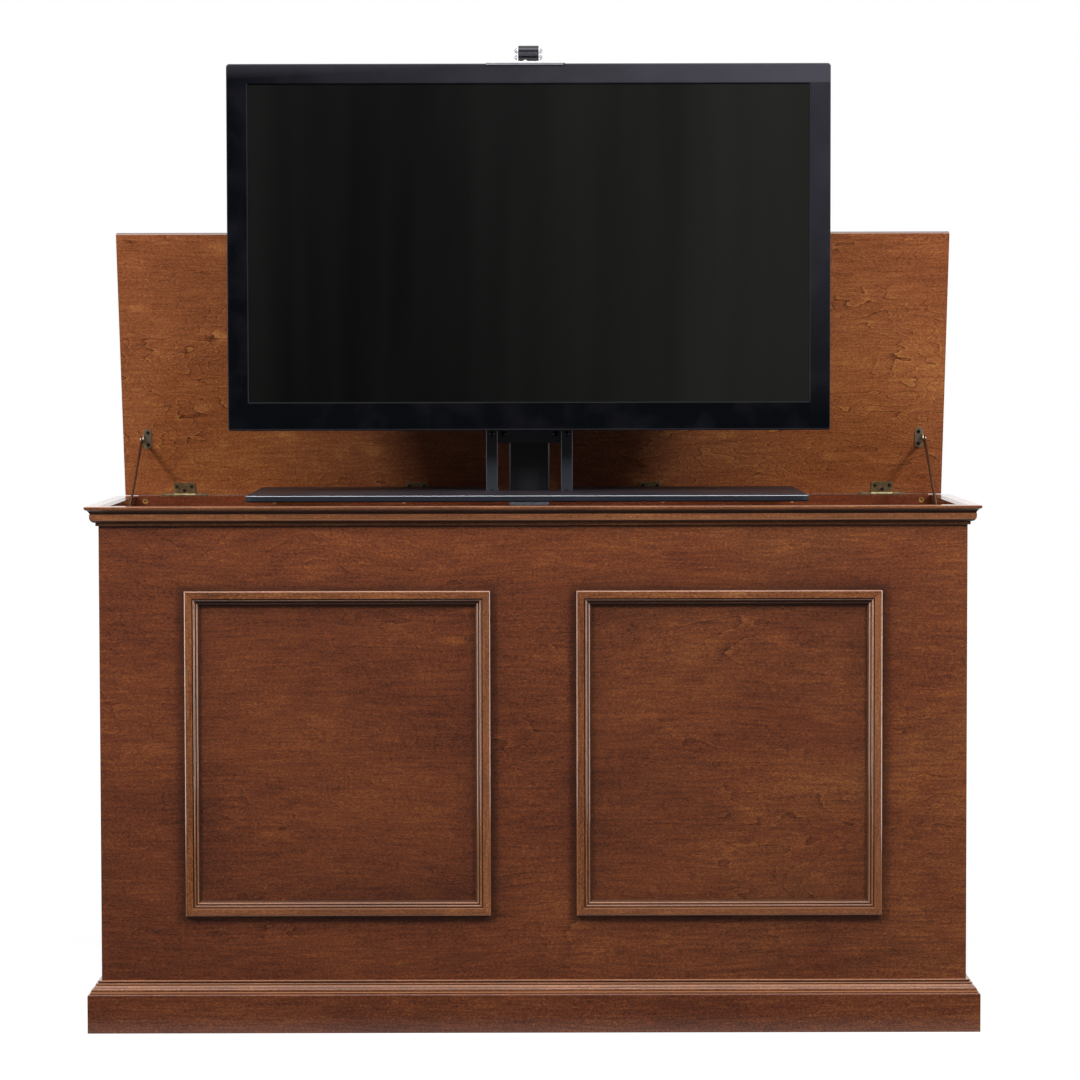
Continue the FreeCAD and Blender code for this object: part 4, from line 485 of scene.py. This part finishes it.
def plated_steel(name, colour, roughness=0.18, top_colour=None):
    """Plated or blacked steel, as on bolts and nuts: a slightly cloudy skin that glints.

    Those above the television's top edge may have a colour of their own.
    """
    material, tree, shader = new_material(name, Metallic=1.0)
    skin = clouds(tree, add(tree, "TexCoord").outputs["Object"], 260.0, 3.0)
    dull = add(tree, "MapRange", skin, 0.4, 0.8, 0.0, 0.4)
    base = add(tree, "Mix", dull, colour, "#8c8a84", data_type="RGBA", blend_type="MULTIPLY")
    if top_colour is not None:
        on_top = add(tree, "Math", along(tree, "Z"), TELEVISION_TOP, operation="GREATER_THAN")
        base = add(tree, "Mix", on_top, base, top_colour, data_type="RGBA")
    feed(shader, Base_Color=base, Roughness=add(tree, "MapRange", skin, 0.3, 0.7, roughness, roughness + 0.15))
    return material


def roller_rubber(name, colour):
    """Ground nitrile rubber: satin black, with fine turning marks round the roller."""
    material, tree, shader = new_material(name, Roughness=0.27)
    # Grinding marks of 0.1 mm are too fine to show: they are drawn 0.7 mm wide.
    marks = clouds(tree, add(tree, "TexCoord").outputs["Object"], (1500.0, 60.0, 60.0))
    feed(shader, Base_Color=with_stops(add(tree, "ValToRGB", marks), ((0.35, colour), (0.7, "#22232a"))),
         Normal=add(tree, "Bump", Height=marks, Strength=0.1, Distance=0.1 * MM))
    return material


def wool_felt(name, colour):
    """Pressed wool felt: a dull, fuzzy dark edge, laid as a dark sheet where there is shade under the lid's heel,
    that stops light.
    """
    material, tree, shader = new_material(name, Roughness=0.95, Specular_IOR_Level=0.1, Sheen_Weight=0.3)
    # Wool fibres of 0.03 mm are too fine to show: they are drawn as tufts 1 mm wide.
    tufts = clouds(tree, add(tree, "TexCoord").outputs["Object"], 900.0, 3.0)
    hollows = add(tree, "MapRange", tufts, 0.3, 0.7, 0.0, 0.5)
    feed(shader, Base_Color=add(tree, "Mix", hollows, colour, "#6a5a50", data_type="RGBA", blend_type="MULTIPLY"),
         Normal=add(tree, "Bump", Height=tufts, Strength=0.3, Distance=0.2 * MM))
    return material


def slate_laminate(name, face, edge, arris):
    """High-pressure laminate: a satin slate face, and a bluish edge band with a painted highlight along its top
    arris and painted shade at its foot.
    """
    material, tree, shader = new_material(name, Specular_IOR_Level=0.28)
    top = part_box("tv_shelf")[1].z
    down = add(tree, "Math", along(tree, "Z"), top, operation="SUBTRACT")
    # Down the edge band: painted shade at its foot, its own colour, and a painted highlight on the top arris.
    band = with_stops(add(tree, "ValToRGB", add(tree, "MapRange", down, -13 * MM, 0.0)),
                      ((0.0, "#1a1d22"), (0.25, edge), (0.80, edge), (0.86, arris), (1.0, arris)))
    haze = clouds(tree, add(tree, "TexCoord").outputs["Object"], 20.0, 3.0)
    flat = add(tree, "Mix", add(tree, "MapRange", haze, 0.3, 0.7, 0.0, 0.25), face, "#4a4448", data_type="RGBA")
    upward = add(tree, "SeparateXYZ", add(tree, "TexCoord").outputs["Normal"]).outputs["Z"]
    on_face = add(tree, "Math", upward, 0.5, operation="GREATER_THAN")
    feed(shader, Base_Color=add(tree, "Mix", on_face, band, flat, data_type="RGBA"),
         Roughness=add(tree, "MapRange", haze, 0.3, 0.7, 0.40, 0.50))
    return material


# ---------------------------------------------------------------- working on nodes and pieces
def finish_nodes(material, *names):
    """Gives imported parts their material."""
    for name in names:
        node = NODES[name]
        node.data.materials.clear()
        node.data.materials.append(material)


def to_scene(name, shape, material):
    """Ends a bmesh as an object of the scene, in its material."""
    mesh = bpy.data.meshes.new(name)
    shape.to_mesh(mesh)
    shape.free()
    mesh.materials.append(material)
    piece = bpy.data.objects.new(name, mesh)
    bpy.context.scene.collection.objects.link(piece)
    return piece


def new_piece(name, shape, material, body):
    """Ends a bmesh as a piece whose faces point outwards, and which rides on a body."""
    bmesh.ops.remove_doubles(shape, verts=shape.verts, dist=0.001 * MM)
    bmesh.ops.recalc_face_normals(shape, faces=shape.faces)
    piece = to_scene(name, shape, material)
    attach(piece, body)


# ---------------------------------------------------------------- settings
class CabinetFinish(bpy.types.PropertyGroup):
    """Colours, gloss and trim of the cabinet"""
    figure: FloatProperty(name="Lid figure", description="How strong the growth rings show on the lid",
                          default=1.0, min=0.0, max=2.0)
    lacquer: FloatProperty(name="Lacquer", description="Gloss of the clear coat on the wood",
                           default=0.8, min=0.0, max=1.0)
    # Colour of the toner round the frames and of the painted shade in and round the mouldings.
    shade_and_toner: FloatVectorProperty(name="Toner", description="Dark colour sprayed round and in the mouldings",
                               default=linear("#261612"), size=4, min=0.0, max=1.0, subtype="COLOR")
    # Colour of the painted highlights on the mouldings' arrises.
    painted_highlight: FloatVectorProperty(name="Rubbed wood", description="Light colour of the mouldings' arrises",
                                default=linear("#c48a66"), size=4, min=0.0, max=1.0, subtype="COLOR")
    coat: FloatVectorProperty(name="Powder coat", description="Colour of the lift's tubes and plates",
                              default=linear("#202024"), size=4, min=0.0, max=1.0, subtype="COLOR")
    # The strip is a dark sheet laid where there is shade under the lid's heel.
    felt: FloatVectorProperty(name="Felt", description="Colour of the dust strip on the rear rim",
                              default=linear("#3a2418"), size=4, min=0.0, max=1.0, subtype="COLOR")
    strip_width: FloatProperty(name="Strip width", description="Width of the dust strip on the rear rim",
                               default=8 * MM, min=1 * MM, subtype="DISTANCE", unit="LENGTH")
    strip_thickness: FloatProperty(name="Strip thickness", description="Thickness of the pressed dust strip",
                                   default=0.5 * MM, min=0.1 * MM, subtype="DISTANCE", unit="LENGTH")


class CabinetStudio(bpy.types.PropertyGroup):
    """Lamps and camera of the studio"""
    left_lamp: FloatProperty(name="Left lamp", description="Power of the left soft box", default=61.0,
                             min=0.0, subtype="POWER", unit="POWER")
    right_lamp: FloatProperty(name="Right lamp", description="Power of the right soft box", default=65.0,
                              min=0.0, subtype="POWER", unit="POWER")
    top_lamp: FloatProperty(name="Top lamp", description="Power of the overhead soft box", default=54.0,
                            min=0.0, subtype="POWER", unit="POWER")
    rail_lamp: FloatProperty(name="Rail lamp", description="Power of the strip light under the shelf", default=0.8,
                             min=0.0, subtype="POWER", unit="POWER")
    fill: FloatProperty(name="Fill", description="Strength of the even light from all round", default=0.27,
                        min=0.0, max=1.0)
    lens: FloatProperty(name="Lens", description="Focal length on a 36 mm sensor", default=124.4, min=10.0)
    distance: FloatProperty(name="Camera distance", description="From the lens to the cornice's front",
                            default=6.744, min=1.0, subtype="DISTANCE", unit="LENGTH")
    height: FloatProperty(name="Camera height", description="Of the lens above the floor", default=1.2375,
                          subtype="DISTANCE", unit="LENGTH")


# ---------------------------------------------------------------- operators of the cabinet
class CABINET_OT_case(bpy.types.Operator):
    """Finish the case panels, plinth and inner boards"""
    bl_idname = "cabinet.case"
    bl_label = "Case"

    def execute(self, context):
        finish = context.scene.cabinet_finish
        gloss = finish.lacquer
        # The front gets painted sheen on its right half, and toner and painted shade round the frames.
        front = stained_birch("front_veneer", "x", CASE_TONES, 1, 0.55, gloss, painted_sheen=sheen_on_right_half,
                              shade_and_toner=(toner_and_shade_round_frames, finish.shade_and_toner))
        finish_nodes(front, "front_panel")
        sides = stained_birch("side_veneer", "y", CASE_TONES, 2, 0.6, gloss)
        finish_nodes(sides, "side_panel_left", "side_panel_right")
        plinth_long = stained_birch("plinth_birch_long", "x", PLINTH_TONES, 3, 0.3, gloss)
        finish_nodes(plinth_long, "plinth_front")
        plinth_short = stained_birch("plinth_birch_short", "y", PLINTH_TONES, 4, 0.3, gloss)
        finish_nodes(plinth_short, "plinth_left", "plinth_right")
        inner = stained_birch("inner_birch", "x", CASE_TONES, 5, 0.4, 0.1)
        finish_nodes(inner, "back_panel_lower", "bottom_panel", "corner_blocks", "plinth_back")
        rail = stained_birch("rail_birch", "x", RAIL_TONES, 12, 0.2, gloss)
        finish_nodes(rail, "rear_top_rail", "back_panel_upper")
        cross = stained_birch("inner_birch_cross", "y", CASE_TONES, 6, 0.3, 0.1)
        finish_nodes(cross, "plinth_centre_rail")
        return {"FINISHED"}


class CABINET_OT_mouldings(bpy.types.Operator):
    """Finish the cornice, base cap and panel mouldings"""
    bl_idname = "cabinet.mouldings"
    bl_label = "Mouldings"

    def execute(self, context):
        finish = context.scene.cabinet_finish
        shine = {"figure": 0.2, "gloss": 1.0, "relief": 0.02, "haze": 0.08}
        # Each moulding gets painted shade in its grooves and painted highlights on its arrises.
        for name, groove_shade, painted_highlight in (("cornice", painted_shade_in_cornice, painted_highlights_on_cornice),
                                     ("base_cap", painted_shade_in_base_cap, painted_highlights_on_base_cap)):
            layers = {"shade_and_toner": (groove_shade, finish.shade_and_toner), "painted_highlight": (painted_highlight, finish.painted_highlight)}
            long = stained_birch(name + "_birch_long", "x", MOULDING_TONES, 7, **layers, **shine)
            finish_nodes(long, name + "_front")
            short = stained_birch(name + "_birch_short", "y", MOULDING_TONES, 8, **layers, **shine)
            finish_nodes(short, name + "_left", name + "_right")
        for seed, side in ((9, "left"), (10, "right")):
            framed = stained_birch("panel_moulding_birch_" + side, "frame", MOULDING_TONES, seed, build=1.8,
                                   shade_and_toner=(painted_shade_in_frame, finish.shade_and_toner), painted_highlight=(painted_highlights_on_frame, finish.painted_highlight),
                                   **shine)
            finish_nodes(framed, "panel_moulding_" + side)
        return {"FINISHED"}


class CABINET_OT_lid(bpy.types.Operator):
    """Finish the lid, and lay a dark strip on the rear rim, as shade under the lid's heel"""
    bl_idname = "cabinet.lid"
    bl_label = "Lid"

    def execute(self, context):
        finish = context.scene.cabinet_finish
        # The lid's veneer gets lighter tones as painted light, a painted shadow low in the middle and painted
        # shade along its far edge.
        veneer = stained_birch("lid_veneer", "x", LID_LIT_TONES, 11.3, 1.1 * finish.figure, finish.lacquer,
                               ring_pitch=11 * MM, patches=(0.34, 0.54), fleck=0.22,
                               shade_and_toner=(painted_shadow_on_lid, LID_SHADOW_COLOUR))
        finish_nodes(veneer, "lid_panel")
        felt = wool_felt("brown_wool_felt", finish.felt)
        width, thickness = finish.strip_width, finish.strip_thickness
        outer_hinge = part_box("hinge_rail_leaves")[1].x - HINGE_HALF
        edges = [-STRIP_REACH, STRIP_REACH]
        for centre in (-outer_hinge, -INNER_HINGE, INNER_HINGE, outer_hinge):
            edges += [centre - HINGE_HALF - HINGE_GAP, centre + HINGE_HALF + HINGE_GAP]
        edges.sort()
        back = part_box("back_panel_upper")[1].y - STRIP_INSET
        shape = bmesh.new()
        for start, end in zip(edges[::2], edges[1::2]):
            strip = bmesh.ops.create_cube(shape, size=1.0)["verts"]
            middle = ((start + end) / 2, back - width / 2, RIM + thickness / 2)
            bmesh.ops.scale(shape, verts=strip, vec=(end - start, width, thickness))
            bmesh.ops.translate(shape, verts=strip, vec=middle)
        new_piece("lid_shade_strip", shape, felt, "cabinet")
        return {"FINISHED"}


class CABINET_OT_hardware(bpy.types.Operator):
    """Finish the hinges, stays, bolts and screws"""
    bl_idname = "cabinet.hardware"
    bl_label = "Hardware"

    def execute(self, context):
        leaf = antique_brass("antique_brass_sheet", "#b8a884", "#92825e", 0.42, 0.60)
        finish_nodes(leaf, "hinge_lid_leaves")
        # The rail leaves and pins are the same brass as the lid's leaves, painted darker as shade under those
        # leaves.
        wear_and_shade = antique_brass("shaded_brass_sheet", "#86745a", "#5c4c38", 0.45, 0.60)
        finish_nodes(wear_and_shade, "hinge_rail_leaves", "hinge_pins")
        head = antique_brass("polished_brass", "#f0c880", "#c89a50", 0.20, 0.34, 0.6)
        finish_nodes(head, "rail_bolts")
        strip = antique_brass("bronzed_steel_strip", "#7e5c46", "#503a2c")
        finish_nodes(strip, "stay_arm_left", "stay_arm_right", "stay_tracks")
        plate = antique_brass("nickelled_brass_plate", "#d8ccb4", "#a89c84", 0.38, 0.56)
        finish_nodes(plate, "stay_lid_plates")
        screws = plated_steel("browned_steel_screws", "#5c564e", 0.3)
        finish_nodes(screws, "lid_screws", "rail_screws", "back_panel_screws")
        return {"FINISHED"}


class CABINET_OT_lift(bpy.types.Operator):
    """Finish the lift, its carriage and the shelf"""
    bl_idname = "cabinet.lift"
    bl_label = "Lift"

    def execute(self, context):
        dark = powder_coat("black_powder_coat", context.scene.cabinet_finish.coat, 0.34)
        finish_nodes(dark, "lift_outer_column", "lift_mid_column", "lift_mast",
                     "lift_base_plate", "lift_brace", "mast_head", "upper_crossbar", "vesa_plate")
        grey = powder_coat("grey_powder_coat", "#33363d", 0.30)
        finish_nodes(grey, "tv_rail_left", "tv_rail_right", "lower_crossbar")
        nylon = moulded_plastic("natural_nylon", "#d2cfc4", 0.5, 500.0, 0.05)
        finish_nodes(nylon, "lift_mid_glide", "lift_mast_glide")
        finish_nodes(powder_coat("black_enamel", "#1c1c1f", 0.35), "lift_motor")
        finish_nodes(moulded_plastic("black_abs", "#1d1d20", 0.55), "lift_control_box")
        finish_nodes(plated_steel("black_oxide", "#2c2c31", 0.25, "#e8e2d8"), "carriage_bolts")
        finish_nodes(plated_steel("bright_nickel", "#d9d9dc"), "lift_base_bolts", "vesa_screws")
        # The shelf's last colour is the painted highlight on its edge band's arris.
        finish_nodes(slate_laminate("slate_laminate", "#1f1b20", "#1d2028", "#c2c8d2"), "tv_shelf")
        return {"FINISHED"}


class CABINET_OT_television(bpy.types.Operator):
    """Finish the television"""
    bl_idname = "cabinet.television"
    bl_label = "Television"

    def execute(self, context):
        # The second colour is the bezel's painted reflection.
        finish_nodes(piano_black("piano_black_abs", "#06070b", "#3a3940", 0.10), "tv_bezel")
        finish_nodes(moulded_plastic("textured_black_abs", "#141416", 0.6), "tv_back_cover")
        finish_nodes(anti_glare_screen("etched_display_film"), "tv_screen")
        return {"FINISHED"}


class CABINET_OT_opener(bpy.types.Operator):
    """Finish the lid opener on top of the television"""
    bl_idname = "cabinet.opener"
    bl_label = "Lid Opener"

    def execute(self, context):
        finish_nodes(satin_aluminium("anodised_aluminium", "#ececee", "#88868c"), "lid_opener_bracket")
        finish_nodes(plated_steel("chromed_nuts", "#a6a4aa", 0.12), "lid_opener_axles")
        finish_nodes(roller_rubber("ground_nitrile", "#16171e"), "lid_opener_roller_front",
                     "lid_opener_roller_rear")
        return {"FINISHED"}


# ---------------------------------------------------------------- studio
WHITE = (1.0, 1.0, 1.0, 1.0)
ROOM_WALLS = 1.0
ROOM_CEILING = 1.3
FLOOR_SIDE = 24.0
FLOOR_DROP = 0.2 * MM
FLOOR_GREY = (0.3, 0.3, 0.3, 1.0)
FLOOR_SHADOW = (0.16, 0.16, 0.16, 1.0)
CARD_GLOW = 5.5
CARD_ASIDE, CARD_AHEAD, CARD_MIDDLE = 3.0, 1.4, 0.5
CARD_DEPTH, CARD_HEIGHT = 2.1, 0.98
CAMERA_ASIDE = 8.5 * MM
# The camera's turns in radians
CAMERA_YAW, CAMERA_PITCH, CAMERA_ROLL = -0.0006, -0.0502, -0.002


def by_ray(tree, camera, mirror, lighting):
    """One shader for what the camera sees, one for what gloss and glass show, and one that lights the rest."""
    path = add(tree, "LightPath")
    reflected = add(tree, "Math", path.outputs["Is Glossy Ray"], path.outputs["Is Transmission Ray"],
                    operation="MAXIMUM")
    unseen = add(tree, "MixShader", reflected, lighting, mirror)
    return add(tree, "MixShader", path.outputs["Is Camera Ray"], unseen, camera)


def soft_box(name, place, aim, width, height, power):
    """An area lamp at a place, turned to a point."""
    data = bpy.data.lights.new(name, "AREA")
    data.shape = "RECTANGLE"
    data.size = width
    data.size_y = height
    data.energy = power
    lamp = bpy.data.objects.new(name, data)
    lamp.location = place
    lamp.rotation_euler = (Vector(aim) - Vector(place)).to_track_quat("-Z", "Y").to_euler()
    bpy.context.scene.collection.objects.link(lamp)
    return lamp


def studio_sheet(name, material, sides, place, turn=0.0):
    """A flat sheet of the studio: a unit square turned about Y, drawn out to its sides and moved."""
    shape = bmesh.new()
    bmesh.ops.create_grid(shape, x_segments=1, y_segments=1, size=0.5)
    bmesh.ops.rotate(shape, verts=shape.verts, cent=(0, 0, 0), matrix=Matrix.Rotation(turn, 3, "Y"))
    bmesh.ops.scale(shape, verts=shape.verts, vec=sides)
    bmesh.ops.translate(shape, verts=shape.verts, vec=place)
    return to_scene(name, shape, material)


def pale_world(fill):
    """Even light for matt surfaces, white for the camera, and bright walls and ceiling for glossy edges."""
    world = bpy.data.worlds.new("studio_room")
    bpy.context.scene.world = world
    tree = emptied_tree(world)
    direction = add(tree, "SeparateXYZ", add(tree, "TexCoord").outputs["Generated"]).outputs
    behind = add(tree, "MapRange", direction["Y"], -0.25, 0.35, 0.06, 1.0)
    aside = add(tree, "Math", direction["X"], operation="ABSOLUTE")
    walls = add(tree, "MapRange", aside, 0.50, 0.80, 0.0, ROOM_WALLS)
    ceiling = add(tree, "MapRange", direction["Z"], 0.50, 0.85, 0.0, ROOM_CEILING)
    room = add(tree, "Math", behind, add(tree, "Math", walls, ceiling, operation="MAXIMUM"), operation="MAXIMUM")
    seen, mirrored, lighting = [add(tree, "Background", Color=WHITE, Strength=strength)
                                for strength in (1.0, room, fill)]
    add(tree, "OutputWorld", Surface=by_ray(tree, seen, mirrored, lighting))


def pale_floor():
    """A white floor that stays white to the camera, apart from the object's soft shadow."""
    material = bpy.data.materials.new("pale_floor_paint")
    tree = emptied_tree(material)
    backwards = along(tree, "Y")
    glow = add(tree, "Emission", Color=WHITE, Strength=add(tree, "MapRange", backwards, 0.8, 3.0, 0.90, 1.0))
    seen = add(tree, "AddShader", add(tree, "BsdfDiffuse", Color=FLOOR_SHADOW), glow)
    behind = add(tree, "MapRange", backwards, -0.45, -0.28, 0.05, 0.9)
    mirrored = add(tree, "Emission", Color=WHITE, Strength=behind)
    paint = add(tree, "BsdfDiffuse", Color=FLOOR_GREY)
    add(tree, "OutputMaterial", Surface=by_ray(tree, seen, mirrored, paint))
    floor = studio_sheet("floor", material, (FLOOR_SIDE, FLOOR_SIDE, 1.0), (0.0, 0.0, -FLOOR_DROP))


def reflector_card(name, side):
    """A low bright card beside the object, which only glossy surfaces show, as a line along their edges."""
    material = bpy.data.materials.new(name + "_white")
    tree = emptied_tree(material)
    glow = add(tree, "Emission", Color=WHITE, Strength=CARD_GLOW)
    glossy = add(tree, "LightPath").outputs["Is Glossy Ray"]
    add(tree, "OutputMaterial", Surface=add(tree, "MixShader", glossy, add(tree, "BsdfTransparent"), glow))
    card = studio_sheet(name, material, (1.0, CARD_DEPTH, CARD_HEIGHT),
                        (side * CARD_ASIDE, -CARD_AHEAD, CARD_MIDDLE), -side * QUARTER)


def front_camera(studio):
    """A long lens a little above the rim, turned down slightly."""
    data = bpy.data.cameras.new("front_camera")
    data.sensor_width = 36.0
    data.lens = studio.lens
    data.clip_end = 100.0
    camera = bpy.data.objects.new("front_camera", data)
    bpy.context.scene.collection.objects.link(camera)
    place = Matrix.Translation((CAMERA_ASIDE, CORNICE_FRONT - studio.distance, studio.height))
    yaw = Matrix.Rotation(CAMERA_YAW, 4, "Z")
    pitch = Matrix.Rotation(QUARTER + CAMERA_PITCH, 4, "X")
    roll = Matrix.Rotation(CAMERA_ROLL, 4, "Z")
    camera.matrix_world = place @ yaw @ pitch @ roll
    bpy.context.scene.camera = camera


class CABINET_OT_studio(bpy.types.Operator):
    """Set up the camera, soft boxes, room and floor"""
    bl_idname = "cabinet.studio"
    bl_label = "Studio"

    def execute(self, context):
        studio = context.scene.cabinet_studio
        context.scene.view_settings.view_transform = "Standard"
        front_camera(studio)
        pale_world(studio.fill)
        pale_floor()
        reflector_card("left_card", -1)
        reflector_card("right_card", 1)
        for name, side, power in (("left_soft_box", -1, studio.left_lamp),
                                  ("right_soft_box", 1, studio.right_lamp)):
            soft_box(name, place=(side * 2.5, -2.0, 2.5), aim=(side * 0.35, -0.2, 1.0), width=0.5, height=0.6,
                     power=power)
        soft_box("top_soft_box", place=(0.0, -1.35, 2.9), aim=(0.0, -0.1, 0.9), width=4.0, height=1.0,
                 power=studio.top_lamp)
        # A weak strip close under the shelf shines back on the rear rail, and isn't seen itself.
        low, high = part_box("tv_shelf")
        strip = soft_box("rail_strip_light", place=(0.0, 0.0, low.z - 12 * MM),
                         aim=(0.0, high.y, low.z - 14 * MM), width=0.9, height=8 * MM, power=studio.rail_lamp)
        strip.visible_camera = False
        strip.visible_glossy = False
        return {"FINISHED"}


# ---------------------------------------------------------------- panel and registration
class CABINET_PT_panel(bpy.types.Panel):
    """Lists the cabinet's steps and settings"""
    bl_label = "TV Lift Cabinet"
    bl_idname = "CABINET_PT_panel"
    bl_space_type = "VIEW_3D"
    bl_region_type = "UI"
    bl_category = "Cabinet"

    def draw(self, context):
        for group in (context.scene.cabinet_finish, context.scene.cabinet_studio):
            for name in group.__annotations__:
                self.layout.prop(group, name)
        for operator in OPERATORS:
            self.layout.operator(operator.bl_idname)


OPERATORS = (CABINET_OT_studio, CABINET_OT_case, CABINET_OT_mouldings, CABINET_OT_lid, CABINET_OT_hardware,
             CABINET_OT_lift, CABINET_OT_television, CABINET_OT_opener)
CLASSES = (CabinetFinish, CabinetStudio) + OPERATORS + (CABINET_PT_panel,)


def register():
    """Registers the classes and hangs the settings on the scene."""
    for cls in CLASSES:
        bpy.utils.register_class(cls)
    bpy.types.Scene.cabinet_finish = PointerProperty(type=CabinetFinish)
    bpy.types.Scene.cabinet_studio = PointerProperty(type=CabinetStudio)


def unregister():
    """Takes the settings and the classes away again."""
    del bpy.types.Scene.cabinet_studio
    del bpy.types.Scene.cabinet_finish
    for cls in reversed(CLASSES):
        bpy.utils.unregister_class(cls)


def main():
    """Registers the add-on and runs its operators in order."""
    register()
    for operator in OPERATORS:
        module, name = operator.bl_idname.split(".")
        getattr(getattr(bpy.ops, module), name)()


if __name__ == "__main__":
    main()
